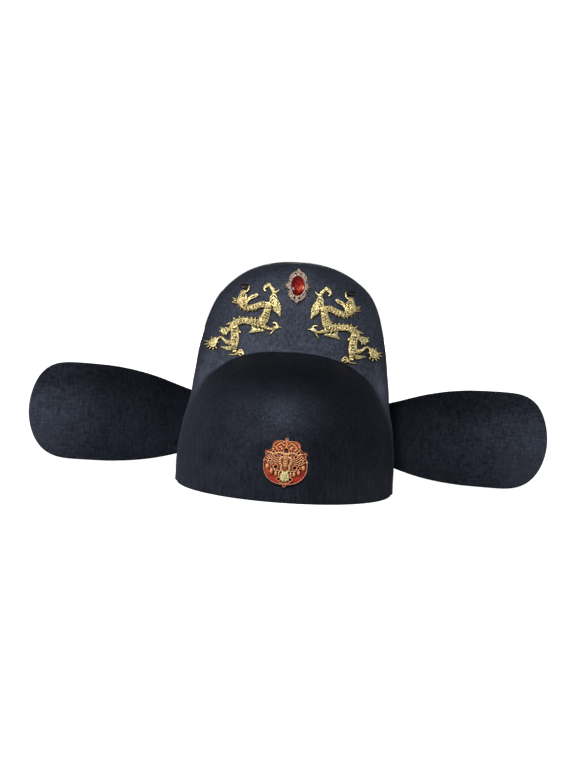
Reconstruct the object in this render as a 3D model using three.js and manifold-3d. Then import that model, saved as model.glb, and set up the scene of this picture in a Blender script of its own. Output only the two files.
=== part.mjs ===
// An official's hat of stiff blue-black felt: a moulded crown with a round front dome and a raised back, two flat
// paddle-shaped wings held behind it, a pair of cast dragons and a set red stone on the raised back, and a round
// beast-mask brooch on the dome. Millimetres, +Z up, +X along the wings, the front faces -Y.
import * as THREE from "three";
import { mergeVertices } from "three/addons/utils/BufferGeometryUtils.js";
import Module from "manifold-3d";

const wasm = await Module();
wasm.setup();

// ---------- named sizes ----------
const GAP = 0.3; // between pieces that touch on the real hat
const WALL = 2.0; // crown felt
const CENTRE_Y = -0.083; // middle of the whole hat, front to back, in the crown's own frame

// raised back, seen from the front: half-width at height z is (BACK_W - BACK_TAPER u)(1 - u^BACK_P)^(1/BACK_Q), u = z / BACK_H
const BACK_H = 176.0,
  BACK_W = 86.2,
  BACK_TAPER = 18.6,
  BACK_P = 8,
  BACK_Q = 2.1,
  BACK_N = 2.6; // squareness of its level sections
// and seen from the side: where its front, its back and its widest line stand at each height
const BACK_SECTIONS = [
  { z: 0, front: -24, back: 95, widest: 10 },
  { z: 50, front: -19, back: 94, widest: 16 },
  { z: 108, front: -8, back: 90, widest: 25 },
  { z: 130, front: -2, back: 87, widest: 30 },
  { z: 150, front: 4, back: 82, widest: 35.5 },
  { z: 160, front: 8, back: 77, widest: 38.5 },
  { z: 168, front: 12.5, back: 71, widest: 41 },
  { z: 172.5, front: 16.5, back: 64.5, widest: 42.5 },
  { z: 174.9, front: 22, back: 57, widest: 43.5 },
  { z: 175.7, front: 30, back: 51, widest: 44 },
  { z: 176.0, front: 43.8, back: 44.2, widest: 44 },
];
// front dome: an oval in plan that closes upwards
const DOME_H = 107.4,
  DOME_W = 85.0,
  DOME_FRONT = 106.0,
  DOME_BACK = 91.0,
  DOME_Y = 4.0,
  DOME_UP = 2.7,
  DOME_N = 2.05;
// radius of the valley where the dome meets the raised back: tight on top, wide down the sides
const VALLEY_TOP = 3.0,
  VALLEY_SIDE = 7.0;
// the grid of the crown's faces runs round and down from this line inside it
const AXIS_Y = 44.0,
  AXIS_Z = 30.0,
  MERIDIANS = 60,
  ROWS = 20;

// wings: a row for each upright section, outwards from the hat's middle
const WING_THICK = 3.0;
const WING_SECTIONS = [
  { x: 2, y: 99.8, mid: 40.0, half: 8.4 },
  { x: 24, y: 99.2, mid: 40.0, half: 8.6 },
  { x: 42, y: 96.4, mid: 40.1, half: 12.0 },
  { x: 62, y: 88.5, mid: 40.2, half: 18.5 },
  { x: 84, y: 77.0, mid: 40.6, half: 26.2 },
  { x: 113, y: 64.0, mid: 42.4, half: 34.5 },
  { x: 130, y: 59.0, mid: 43.3, half: 37.3 },
  { x: 146, y: 55.4, mid: 43.9, half: 38.7 },
  { x: 170, y: 52.0, mid: 44.3, half: 39.2 },
  { x: 209, y: 49.4, mid: 44.3, half: 39.2 },
];
const TIP_START = 165, // where the blunt round end begins
  TIP_END = 208.9,
  TIP_TOP = 4.0,
  TIP_LOW = 3.4,
  TIP_POWER = 0.54;
const WING_BULGE = 5.0; // forward camber of the paddle at mid-height
const NECK_START = 21, // up to here the neck lies along the rear of the crown
  NECK_END = 46;

// felt sleeve on the centre back that holds both necks
const KEEPER_HALF = 20,
  KEEPER_Z = 40,
  KEEPER_HIGH = 11.0, // half height outside
  KEEPER_WALL = 1.5,
  KEEPER_SLOT = 4.4;

// cast dragons: heights above the felt
const DRAGON_X = 37.0,
  DRAGON_Z = 130.0,
  DRAGON_THICK = 2.0;
// limbs of one dragon as tapering bent strokes: from, bend and to in millimetres from its middle, half-widths at both ends
const DRAGON_LIMBS = [
  ["skull", -5.4, 20.6, -5.9, 17.5, -6.8, 14.1, 2.2, 3.3],
  ["snout", -3.6, 18.6, -3.2, 15.7, -3.6, 12.7, 1.84, 2.11],
  ["stem", -3.2, 21.8, -1.6, 23.3, -1, 26, 0.73, 0.78],
  ["jaw", -3.2, 12.5, -0.9, 16.1, 1.7, 19.1, 1.74, 0.96],
  ["jaw_mid", 1.7, 19.1, 2.9, 19.5, 4.2, 19.8, 0.92, 0.78],
  ["jaw_tip", 4, 19.8, 4.9, 20.2, 5.6, 20.2, 0.92, 1.29],
  ["mane_a", -8.3, 15.5, -10.6, 15.5, -13.2, 16.2, 1.84, 0.5],
  ["mane_b", -8.7, 13.4, -11.1, 13, -13.8, 12.9, 1.93, 0.5],
  ["beard_a", -5.7, 11.1, -5.9, 9.3, -6.7, 8.1, 2.11, 0.5],
  ["beard_b", -3.2, 10.2, -3.2, 8.2, -3.8, 6.8, 2.11, 0.5],
  ["beard_d", 2.6, 9.3, 2.9, 7.9, 3.3, 7.1, 1.19, 0.5],
  ["neck", -5, 12.1, -1.8, 9.8, 1.7, 10.1, 2.85, 2.39],
  ["neck_mid", 1.7, 10.1, 5.2, 11.2, 8.4, 12.6, 2.39, 2.48],
  ["nape", 8.4, 12.6, 11.2, 13.2, 14.9, 12.4, 2.48, 2.85],
  ["shoulder", 14.9, 12.4, 15, 10.7, 14.4, 8.6, 3.12, 2.85],
  ["curl", 12, 23.6, 11.2, 26, 13.4, 28.2, 0.85, 1.7],
  ["curl_top", 13.4, 28.2, 15.2, 28.2, 16.6, 26.3, 1.7, 1.33],
  ["flame_stem", 16.6, 26.3, 18.3, 24.5, 18.9, 22, 1.33, 1.74],
  ["flame_spur", 17.9, 24.3, 20.6, 23.8, 22.7, 25.8, 1.2, 0.5],
  ["flame_body", 18.9, 22, 18.8, 18.4, 19.6, 14.5, 1.93, 4.5],
  ["flame_low", 20, 14.8, 22, 11.4, 23, 8.9, 4.13, 2.11],
  ["flame_tip", 23, 8.9, 24.1, 6.8, 24.6, 5, 1.93, 0.5],
  ["flame_side", 21.4, 15, 23.9, 13, 24.9, 10.5, 2.2, 0.5],
  ["trunk", 14.4, 8.9, 13.6, 5.2, 12, 1.2, 2.75, 3.86],
  ["chest", 12, 1.2, 11.3, -1.3, 12.1, -3.5, 3.95, 2.39],
  ["foreleg", 11.7, -3.3, 14.9, -4.5, 17.7, -5.2, 2.07, 1.15],
  ["wrist", 17.7, -5.2, 19.6, -5.1, 21.6, -4.1, 1.15, 1.56],
  ["claw_a", 23, -3.2, 24.7, -3.3, 26.8, -3.7, 1.38, 0.5],
  ["claw_b", 22.9, -2.1, 22.1, -0.6, 20, -0.3, 1.1, 0.73],
  ["claw_c", 20.9, -5.2, 19.6, -7.2, 17.4, -10.1, 1.19, 0.5],
  ["fin_root", 12.5, -6.8, 9, -6.6, 5.7, -6.8, 1.1, 2.39],
  ["fin_leaf", 5.7, -6.8, 3.8, -7.9, 1.7, -9.5, 2.39, 0.6],
  ["belly", 9, -3.2, 6.6, -3.3, 4.2, -2.9, 1.93, 1.47],
  ["back", 8.9, -0.9, 4.2, -0.9, -0.9, -0.7, 2.66, 2.57],
  ["back_mid", -0.9, -0.7, -5, -0.8, -8.7, -2.7, 2.57, 2.75],
  ["rump", -8.7, -2.7, -11, -4.5, -12, -7.5, 2.66, 2.75],
  ["loin_a", -10.5, -5.9, -9.7, -8.8, -9.4, -12, 3.49, 3.3],
  ["loin_b", -9.4, -12, -9.3, -15.6, -9.9, -19.3, 3.3, 3.67],
  ["loin_c", -9.4, -19.3, -9, -22, -9, -24.5, 2.66, 1.56],
  ["spike_f", -9.3, -0.9, -10.5, 0.2, -11.7, 1.2, 1.29, 0.5],
  ["spike_g", -11.8, -2.9, -14.3, -3.6, -17.1, -4.6, 1.65, 0.5],
  ["side_fin", -14.1, -8.2, -16.5, -9, -18.4, -9.6, 2.1, 2.75],
  ["side_fin_b", -18.7, -10, -20.5, -10.1, -21.9, -10.2, 1.65, 0.5],
  ["hock", -11.2, -18.2, -14.8, -18.1, -17.9, -16.2, 2.3, 1.25],
  ["knee", -17.9, -16.2, -19.5, -14.9, -21.2, -15.1, 1.2, 0.95],
  ["shank", -21.2, -15.1, -22.7, -16.1, -24.4, -17.2, 0.76, 1.21],
  ["paw", -24.2, -17.4, -25.2, -18.8, -26, -20.2, 2.2, 3.2],
  ["toe_a", -28.1, -19.6, -30.6, -19.3, -33.3, -19, 1.21, 0.5],
  ["toe_c", -27.6, -21.7, -29.4, -22.7, -30.9, -23.9, 1.21, 0.5],
  ["toe_e", -25.8, -22.4, -25.7, -23.9, -25.5, -25.4, 1.11, 0.5],
  ["calf", -11.5, -22.1, -15.4, -22.5, -19.4, -22.1, 2, 0.7],
  ["ankle", -8.8, -23.9, -7.7, -25.2, -6.6, -26, 1.41, 1.21],
  ["foot_up", -6.5, -25.5, -3.9, -23.1, -1.4, -26.1, 1.11, 0.5],
  ["foot_back", -7, -26.8, -9.8, -27.3, -12.6, -27.6, 0.86, 0.6],
];

// set stone near the top: one frame that touches the felt at this point of the front view
const JEWEL_X = 0,
  JEWEL_Z = 158.9;
const STONE_HALF_W = 5.4,
  STONE_HALF_L = 8.3,
  STONE_LOW = 1.6,
  STONE_THICK = 3.0,
  STONE_SIDES = 16;
const SETTING_THICK = 1.0,
  BEZEL_WALL = 0.9,
  BEZEL_TOP = 3.0;
// lobes of the setting, upper right quarter, mirrored both ways: middle and radius
const SETTING_LOBES = [
  { part: "head", x: 0, z: 8.6, r: 3.5 },
  { part: "brow", x: 2.5, z: 8.3, r: 2.9 },
  { part: "shoulder", x: 4.2, z: 6.3, r: 3.0 },
  { part: "side", x: 5.3, z: 2.9, r: 2.8 },
  { part: "waist", x: 5.7, z: 0, r: 2.3 },
];
// its tip and the two thin points beside the waist, in the columns of the dragon's limbs
const SETTING_POINTS = [
  ["tip", 0, 13.3, 0, 11.8, 0, 9.8, 0.5, 2.5],
  ["point_up", 7.0, 1.0, 8.4, 1.3, 9.9, 2.2, 0.7, 0.4],
  ["point_out", 7.0, 0.3, 8.6, 0.3, 10.1, 0.4, 0.7, 0.4],
];
const SETTING_HOLES = [
  { x: 2.0, z: 9.2, r: 0.6 },
  { x: 6.95, z: 3.3, r: 0.5 },
];

// brooch on the dome
const MEDAL_X = 0,
  MEDAL_Z = 31.3,
  MEDAL_RIM = 1.4,
  MEDAL_RISE = 1.8;
// its outline: a full oval face, and discs of the right half, mirrored
const MEDAL_FACE = { halfWidth: 16.7, middle: -2.9, halfHeight: 14.4, fullness: 2.25 };
const MEDAL_DISCS = [
  { part: "brow", x: 0, z: 10.8, r: 5.5 },
  { part: "lobe_inner", x: 3.6, z: 12.2, r: 3.9 },
  { part: "lobe", x: 6.9, z: 12.3, r: 3.6 },
  { part: "lobe_low", x: 7.0, z: 9.6, r: 3.6 },
  { part: "temple", x: 9.7, z: 7.9, r: 2.5 },
  { part: "shoulder", x: 11.8, z: 5.2, r: 3.4 },
  { part: "shoulder_tip", x: 14.6, z: 6.7, r: 1.5 },
  { part: "ear", x: 15.4, z: 0.5, r: 1.5 },
  { part: "knob_top", x: 0, z: 16.9, r: 1.45 },
  { part: "knob_low", x: 0, z: -17.6, r: 1.5 },
];

// ---------- small numbers ----------
const clamp = (v, lo, hi) => Math.min(hi, Math.max(lo, v));
const smooth = (a, b, v) => {
  const t = clamp((v - a) / (b - a), 0, 1);
  return t * t * (3 - 2 * t);
};

// Monotone cubic through the rows of a table, by its first column.
function curveOf(rows, key, value) {
  const xs = rows.map((r) => r[key]),
    ys = rows.map((r) => r[value]),
    n = xs.length;
  const h = [],
    d = [];
  for (let i = 0; i < n - 1; i++) {
    h.push(xs[i + 1] - xs[i]);
    d.push((ys[i + 1] - ys[i]) / h[i]);
  }
  const m = new Array(n).fill(0);
  m[0] = d[0];
  m[n - 1] = d[n - 2];
  for (let i = 1; i < n - 1; i++)
    if (d[i - 1] * d[i] > 0) {
      const a = 2 * h[i] + h[i - 1],
        b = h[i] + 2 * h[i - 1];
      m[i] = (a + b) / (a / d[i - 1] + b / d[i]);
    }
  return (x) => {
    const c = clamp(x, xs[0], xs[n - 1]);
    let i = 0;
    while (i < n - 2 && c >= xs[i + 1]) i++;
    const t = (c - xs[i]) / h[i],
      s = 1 - t;
    return (
      ys[i] * (1 + 2 * t) * s * s +
      m[i] * h[i] * t * s * s +
      ys[i + 1] * t * t * (3 - 2 * t) +
      m[i + 1] * h[i] * t * t * (t - 1)
    );
  };
}

// ---------- the crown's outer surface, as a field that is zero on it and positive outside ----------
const backFront = curveOf(BACK_SECTIONS, "z", "front"),
  backBack = curveOf(BACK_SECTIONS, "z", "back"),
  backWidest = curveOf(BACK_SECTIONS, "z", "widest");
function raisedBack(x, y, z) {
  const zz = clamp(z, 0, BACK_H - 0.05),
    u = zz / BACK_H;
  const w = Math.max(
    0.3,
    (BACK_W - BACK_TAPER * u) * Math.pow(1 - Math.pow(u, BACK_P), 1 / BACK_Q),
  );
  const wide = backWidest(zz),
    dy = y - wide;
  const d = Math.max(0.3, dy < 0 ? wide - backFront(zz) : backBack(zz) - wide);
  const r = Math.pow(
    Math.pow(Math.abs(x) / w, BACK_N) + Math.pow(Math.abs(dy) / d, BACK_N),
    1 / BACK_N,
  );
  const scale = Math.max(1, Math.hypot(x, dy) / Math.max(r, 1e-6));
  return Math.max((r - 1) * scale, z - BACK_H);
}
function frontDome(x, y, z) {
  const dy = y - DOME_Y,
    d = dy < 0 ? DOME_FRONT : DOME_BACK;
  const plan = Math.pow(
    Math.pow(Math.abs(x) / DOME_W, DOME_N) +
      Math.pow(Math.abs(dy) / d, DOME_N),
    1 / DOME_N,
  );
  const g = Math.pow(
    Math.pow(plan, DOME_UP) + Math.pow(Math.max(z, 0) / DOME_H, DOME_UP),
    1 / DOME_UP,
  );
  return (g - 1) * (Math.hypot(x, dy, z) / Math.max(g, 1e-6));
}
function crownField(x, y, z) {
  const a = raisedBack(x, y, z),
    b = frontDome(x, y, z);
  const k =
    VALLEY_TOP + VALLEY_SIDE * (1 - smooth(45, 100, z)) * smooth(-10, 35, z);
  const h = clamp(0.5 + (0.5 * (b - a)) / k, 0, 1);
  return b * (1 - h) + a * h - k * h * (1 - h);
}
function crownNormal(p) {
  const e = 0.05;
  return new THREE.Vector3(
    crownField(p.x + e, p.y, p.z) - crownField(p.x - e, p.y, p.z),
    crownField(p.x, p.y + e, p.z) - crownField(p.x, p.y - e, p.z),
    crownField(p.x, p.y, p.z + e) - crownField(p.x, p.y, p.z - e),
  ).normalize();
}
// Where a straight line from a point inside leaves the crown.
function leave(from, way, far = 260, march = 2) {
  const at = (t) =>
    crownField(from.x + way.x * t, from.y + way.y * t, from.z + way.z * t);
  let lo = 0,
    hi = march;
  while (hi < far && at(hi) < 0) {
    lo = hi;
    hi += march;
  }
  for (let i = 0; i < 30; i++) {
    const m = (lo + hi) / 2;
    if (at(m) < 0) lo = m;
    else hi = m;
  }
  return from.clone().addScaledVector(way, (lo + hi) / 2);
}
const FORWARD = new THREE.Vector3(0, -1, 0),
  BACKWARD = new THREE.Vector3(0, 1, 0);
const onRaisedBack = (x, z) => leave(new THREE.Vector3(x, 30, z), FORWARD);
const onDome = (x, z) => leave(new THREE.Vector3(x, 0, z), FORWARD);
const onRear = (x, z) => leave(new THREE.Vector3(x, 40, z), BACKWARD);

// ---------- geometry from lists of corners ----------
function geometryOf(points, triangles) {
  const g = new THREE.BufferGeometry();
  g.setAttribute(
    "position",
    new THREE.Float32BufferAttribute(points.flatMap((p) => [p.x, p.y, p.z]), 3),
  );
  g.setIndex(triangles.flat());
  g.computeVertexNormals();
  return g;
}
function solidOf(geometry) {
  const merged = mergeVertices(geometry.clone().deleteAttribute("normal"), 1e-4);
  return new wasm.Manifold(
    new wasm.Mesh({
      numProp: 3,
      vertProperties: new Float32Array(merged.attributes.position.array),
      triVerts: new Uint32Array(merged.index.array),
    }),
  );
}
function geometryFrom(solid) {
  const m = solid.getMesh(),
    points = [],
    triangles = [];
  for (let i = 0; i < m.numVert; i++) {
    const o = i * m.numProp;
    points.push(
      new THREE.Vector3(
        m.vertProperties[o],
        m.vertProperties[o + 1],
        m.vertProperties[o + 2],
      ),
    );
  }
  for (let i = 0; i < m.triVerts.length; i += 3)
    triangles.push([m.triVerts[i], m.triVerts[i + 1], m.triVerts[i + 2]]);
  return geometryOf(points, triangles);
}

// The loops where a field over a plane is zero, inside (negative) on the left.
function outlineOf(field, x0, x1, z0, z1, step) {
  const nx = Math.ceil((x1 - x0) / step),
    nz = Math.ceil((z1 - z0) / step);
  const value = [];
  for (let i = 0; i <= nx; i++) {
    value.push([]);
    for (let j = 0; j <= nz; j++) {
      const v = field(x0 + i * step, z0 + j * step);
      value[i].push(Math.abs(v) < 1e-4 ? 1e-4 : v);
    }
  }
  const cut = (i, j, k, l) => {
    const a = value[i][j],
      b = value[k][l],
      t = a / (a - b);
    return new THREE.Vector2(
      x0 + (i + (k - i) * t) * step,
      z0 + (j + (l - j) * t) * step,
    );
  };
  const next = new Map();
  for (let i = 0; i < nx; i++)
    for (let j = 0; j < nz; j++) {
      const corners = [
        [i, j],
        [i + 1, j],
        [i + 1, j + 1],
        [i, j + 1],
      ];
      const inside = corners.map(([a, b]) => value[a][b] < 0);
      const leaving = [],
        entering = [];
      for (let c = 0; c < 4; c++) {
        const a = corners[c],
          b = corners[(c + 1) % 4];
        if (inside[c] === inside[(c + 1) % 4]) continue;
        const first = a[0] + a[1] < b[0] + b[1] ? a : b,
          last = first === a ? b : a;
        const name = first.join(",") + (first[0] === last[0] ? "z" : "x");
        const hit = { c, name, p: cut(...first, ...last) };
        (inside[c] ? leaving : entering).push(hit);
      }
      // an edge of the outline runs from where the cell's border leaves the inside to where it comes back
      for (const out of leaving) {
        let best = null;
        for (const back of entering) {
          const turn = (back.c - out.c + 4) % 4;
          if (!best || turn < best.turn) best = { turn, back };
        }
        next.set(out.name, { p: out.p, to: best.back.name });
      }
    }
  const loops = [];
  while (next.size) {
    const loop = [];
    let name = next.keys().next().value;
    while (next.has(name)) {
      const e = next.get(name);
      next.delete(name);
      loop.push(e.p);
      name = e.to;
    }
    if (loop.length > 5) loops.push(loop.reverse());
  }
  return loops;
}
// Drops the corners of a closed loop that lie within a tolerance of the line through their neighbours.
function simplify(loop, tolerance) {
  const keepBetween = (pts) => {
    if (pts.length < 3) return pts.slice(0, -1);
    const a = pts[0],
      b = pts[pts.length - 1],
      ab = b.clone().sub(a),
      len = Math.max(ab.length(), 1e-9);
    let worst = -1,
      far = tolerance;
    for (let i = 1; i < pts.length - 1; i++) {
      const q = pts[i].clone().sub(a);
      const d = Math.abs(ab.x * q.y - ab.y * q.x) / len;
      if (d > far) {
        far = d;
        worst = i;
      }
    }
    if (worst < 0) return [a];
    return [
      ...keepBetween(pts.slice(0, worst + 1)),
      ...keepBetween(pts.slice(worst)),
    ];
  };
  let far = 0,
    opposite = 0;
  loop.forEach((p, i) => {
    const d = p.distanceTo(loop[0]);
    if (d > far) {
      far = d;
      opposite = i;
    }
  });
  return [
    ...keepBetween(loop.slice(0, opposite + 1)),
    ...keepBetween([...loop.slice(opposite), loop[0]]),
  ];
}
// Splits every edge that is longer than a limit, on both of its sides alike.
function refine(points, triangles, limit) {
  for (let round = 0; round < 8; round++) {
    const middle = new Map();
    const mid = (a, b) => {
      if (points[a].distanceTo(points[b]) <= limit) return -1;
      const key = Math.min(a, b) + "," + Math.max(a, b);
      if (!middle.has(key)) {
        middle.set(key, points.length);
        points.push(points[a].clone().add(points[b]).multiplyScalar(0.5));
      }
      return middle.get(key);
    };
    const out = [];
    for (const [a, b, c] of triangles) {
      const ab = mid(a, b),
        bc = mid(b, c),
        ca = mid(c, a);
      const ring = [a, ab, b, bc, c, ca].filter((v) => v >= 0);
      if (ring.length === 3) out.push([a, b, c]);
      else if (ring.length === 6)
        out.push([a, ab, ca], [ab, b, bc], [ca, bc, c], [ab, bc, ca]);
      else {
        // turn the ring so that it starts at a new corner, and fan from there
        const start = ring.findIndex((v) => v === ab || v === bc || v === ca);
        const turned = [...ring.slice(start), ...ring.slice(0, start)];
        for (let i = 1; i < turned.length - 1; i++)
          out.push([turned[0], turned[i], turned[i + 1]]);
      }
    }
    triangles = out;
    if (!middle.size) break;
  }
  return triangles;
}
// A closed sheet over a flat outline with holes: place(u, v, side) gives the corner on its back (0) or its face (1).
function sheetOf(contour, holes, limit, place) {
  const points = [contour, ...holes].flat().map((p) => p.clone());
  let flat = THREE.ShapeUtils.triangulateShape(contour, holes);
  const area = (a, b, c) =>
    (points[b].x - points[a].x) * (points[c].y - points[a].y) -
    (points[b].y - points[a].y) * (points[c].x - points[a].x);
  flat = flat.map(([a, b, c]) => (area(a, b, c) < 0 ? [a, c, b] : [a, b, c]));
  flat = refine(points, flat, limit);
  const n = points.length,
    corners = [
      ...points.map((p) => place(p.x, p.y, 0)),
      ...points.map((p) => place(p.x, p.y, 1)),
    ];
  const triangles = [],
    border = new Map();
  for (const [a, b, c] of flat) {
    triangles.push([a + n, b + n, c + n], [a, c, b]);
    for (const [p, q] of [
      [a, b],
      [b, c],
      [c, a],
    ]) {
      if (border.has(q + "," + p)) border.delete(q + "," + p);
      else border.set(p + "," + q, [p, q]);
    }
  }
  for (const [p, q] of border.values())
    triangles.push([p, q, q + n], [p, q + n, p + n]);
  return geometryOf(corners, triangles);
}
const inOrder = (loops) => {
  const size = (l) => Math.abs(THREE.ShapeUtils.area(l));
  return [...loops].sort((a, b) => size(b) - size(a));
};

// ---------- crown ----------
function crownGeometry() {
  const outer = [],
    inner = [];
  const fine = 320;
  for (let i = 0; i < MERIDIANS; i++) {
    const a = (i / MERIDIANS) * 2 * Math.PI - Math.PI / 2,
      c = Math.cos(a),
      s = Math.sin(a);
    const foot = leave(
      new THREE.Vector3(0, AXIS_Y, 0),
      new THREE.Vector3(c, s, 0),
    );
    const reach = Math.hypot(foot.x, foot.y - AXIS_Y);
    const end = Math.PI / 2 + Math.atan2(AXIS_Z, reach);
    const line = [];
    for (let j = 0; j <= fine; j++) {
      const t = (j / fine) * end,
        r = Math.sin(t);
      line.push(
        leave(
          new THREE.Vector3(0, AXIS_Y, AXIS_Z),
          new THREE.Vector3(c * r, s * r, Math.cos(t)),
          260,
          12,
        ),
      );
    }
    line[0].set(0, AXIS_Y, BACK_H);
    line[fine].z = 0;
    // closer rows where the line turns
    const angle = (j) => {
      const p = line[j],
        q = line[j + 1];
      return Math.atan2(q.z - p.z, Math.hypot(q.x - p.x, q.y - p.y) * 1);
    };
    let total = 0;
    const length = line
      .slice(1)
      .reduce((sum, p, j) => sum + p.distanceTo(line[j]), 0);
    const sum = [0];
    for (let j = 0; j < fine; j++) {
      let turn = 0;
      for (let k = -6; k <= 6; k++) {
        const m = clamp(j + k, 1, fine - 1);
        turn += Math.abs(angle(m) - angle(m - 1)) / 13;
      }
      total += line[j].distanceTo(line[j + 1]) / length + (turn * 5) / 6.2832;
      sum.push(total);
    }
    const down = [];
    for (let r = 0; r <= ROWS; r++) {
      const want = (r / ROWS) * total;
      let j = 0;
      while (j < fine - 1 && sum[j + 1] < want) j++;
      const t = clamp((want - sum[j]) / (sum[j + 1] - sum[j]), 0, 1);
      down.push(line[j].clone().lerp(line[j + 1], t));
    }
    outer.push(down);
    inner.push(
      down.map((p, r) => {
        const n =
          r === 0 ? new THREE.Vector3(0, 0, 1) : crownNormal(p);
        if (r === ROWS) n.setZ(0).normalize();
        const q = p.clone().addScaledVector(n, -WALL);
        if (r === ROWS) q.z = 0;
        return q;
      }),
    );
  }
  const points = [outer[0][0], inner[0][0]],
    triangles = [];
  const at = (side, i, r) =>
    r === 0 ? side : 2 + side * MERIDIANS * ROWS + (i % MERIDIANS) * ROWS + r - 1;
  for (const side of [outer, inner])
    for (const down of side) points.push(...down.slice(1));
  for (let i = 0; i < MERIDIANS; i++)
    for (let r = 0; r < ROWS; r++) {
      for (const side of [0, 1]) {
        const a = at(side, i, r),
          b = at(side, i, r + 1),
          c = at(side, i + 1, r + 1),
          d = at(side, i + 1, r);
        const faces = r === 0 ? [[a, b, c]] : [[a, b, c], [a, c, d]];
        for (const f of faces)
          triangles.push(side === 0 ? f : [f[0], f[2], f[1]]);
      }
    }
  for (let i = 0; i < MERIDIANS; i++) {
    const a = at(0, i, ROWS),
      b = at(0, i + 1, ROWS),
      c = at(1, i + 1, ROWS),
      d = at(1, i, ROWS);
    triangles.push([a, c, b], [a, d, c]);
  }
  return geometryOf(points, triangles);
}

// ---------- wings ----------
const wingY = curveOf(WING_SECTIONS, "x", "y"),
  wingMid = curveOf(WING_SECTIONS, "x", "mid"),
  wingHalf = curveOf(WING_SECTIONS, "x", "half");
const tip = (x, power) => {
  const t = clamp((x - TIP_START) / (TIP_END - TIP_START), 0, 1);
  return Math.pow(Math.max(0, 1 - Math.pow(t, power)), TIP_POWER);
};
function wingOutline() {
  const stations = 20,
    upper = [],
    lower = [];
  for (let i = 0; i <= stations; i++) {
    // even steps, then closer ones round the blunt end
    const s = i / stations,
      first = WING_SECTIONS[0].x;
    const x =
      s < 0.6
        ? first + (TIP_START - first) * (s / 0.6)
        : TIP_START +
          (TIP_END - TIP_START) * Math.sin(((s - 0.6) / 0.4) * (Math.PI / 2));
    upper.push(
      new THREE.Vector2(x, wingMid(x) + wingHalf(x) * tip(x, TIP_TOP)),
    );
    if (i < stations)
      lower.push(
        new THREE.Vector2(x, wingMid(x) - wingHalf(x) * tip(x, TIP_LOW)),
      );
  }
  return [...lower, ...upper.reverse()];
}
function wingPoint(x, z, h) {
  const surface = (u, v) => {
    const t = clamp((v - wingMid(u)) / 39.2, -1, 1);
    const paddle = wingY(u) - WING_BULGE * smooth(50, 120, u) * (1 - t * t);
    if (u >= NECK_END) return paddle;
    const neck = onRear(u, v).y + GAP + KEEPER_WALL + KEEPER_SLOT / 2;
    return neck + (paddle - neck) * smooth(NECK_START, NECK_END, u);
  };
  const e = 0.2,
    y = surface(x, z);
  const n = new THREE.Vector3(
    (surface(x + e, z) - surface(x - e, z)) / (2 * e),
    -1,
    (surface(x, z + e) - surface(x, z - e)) / (2 * e),
  ).normalize();
  return new THREE.Vector3(x, y, z).addScaledVector(n, h);
}
function wingGeometry(side) {
  const outline = wingOutline();
  const g = sheetOf(outline, [], 20, (u, v, face) =>
    wingPoint(u, v, face ? WING_THICK / 2 : -WING_THICK / 2),
  );
  return side > 0 ? g : mirrored(g);
}
function mirrored(g) {
  const m = g.clone(),
    p = m.attributes.position,
    index = m.index.array;
  for (let i = 0; i < p.count; i++) p.setX(i, -p.getX(i));
  for (let i = 0; i < index.length; i += 3)
    [index[i + 1], index[i + 2]] = [index[i + 2], index[i + 1]];
  m.computeVertexNormals();
  return m;
}

// ---------- keeper ----------
function keeperGeometry() {
  const stations = 6,
    points = [],
    triangles = [];
  const deep = 2 * KEEPER_WALL + KEEPER_SLOT,
    inside = KEEPER_HIGH - KEEPER_WALL;
  // section: four outer corners, four slot corners; v up, h away from the felt
  const section = [
    [-KEEPER_HIGH, GAP],
    [KEEPER_HIGH, GAP],
    [KEEPER_HIGH, GAP + deep],
    [-KEEPER_HIGH, GAP + deep],
    [-inside, GAP + KEEPER_WALL],
    [inside, GAP + KEEPER_WALL],
    [inside, GAP + KEEPER_WALL + KEEPER_SLOT],
    [-inside, GAP + KEEPER_WALL + KEEPER_SLOT],
  ];
  for (let i = 0; i <= stations; i++) {
    const x = -KEEPER_HALF + (2 * KEEPER_HALF * i) / stations;
    for (const [v, h] of section) {
      const p = onRear(x, KEEPER_Z + v);
      points.push(p.setY(p.y + h));
    }
  }
  const quad = (a, b, c, d) => triangles.push([a, c, b], [a, d, c]);
  for (let i = 0; i < stations; i++)
    for (let k = 0; k < 4; k++) {
      const l = (k + 1) % 4,
        o = 8 * i;
      quad(o + k, o + l, o + l + 8, o + k + 8);
      quad(o + k + 4, o + k + 12, o + l + 12, o + l + 4);
    }
  const end = 8 * stations;
  for (let k = 0; k < 4; k++) {
    const l = (k + 1) % 4;
    quad(k, k + 4, l + 4, l);
    quad(end + k, end + l, end + l + 4, end + k + 4);
  }
  return geometryOf(points, triangles);
}

// ---------- ornaments ----------
const conform = (surface) => (x, z, h) => {
  const p = surface(x, z);
  return p.addScaledVector(crownNormal(p), h);
};
function strokeDistance(limbs, x, z) {
  let best = 1e9;
  for (const [, x0, z0, xm, zm, x1, z1, r0, r1] of limbs) {
    const cx = 2 * xm - (x0 + x1) / 2,
      cz = 2 * zm - (z0 + z1) / 2,
      steps = 4;
    let ax = x0,
      az = z0,
      ra = r0;
    for (let i = 1; i <= steps; i++) {
      const t = i / steps,
        s = 1 - t;
      const bx = s * s * x0 + 2 * t * s * cx + t * t * x1,
        bz = s * s * z0 + 2 * t * s * cz + t * t * z1,
        rb = r0 + (r1 - r0) * t;
      const q = clamp(
        ((x - ax) * (bx - ax) + (z - az) * (bz - az)) /
          ((bx - ax) ** 2 + (bz - az) ** 2),
        0,
        1,
      );
      best = Math.min(
        best,
        Math.hypot(x - ax - q * (bx - ax), z - az - q * (bz - az)) -
          (ra + (rb - ra) * q),
      );
      ax = bx;
      az = bz;
      ra = rb;
    }
  }
  return best;
}
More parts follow.
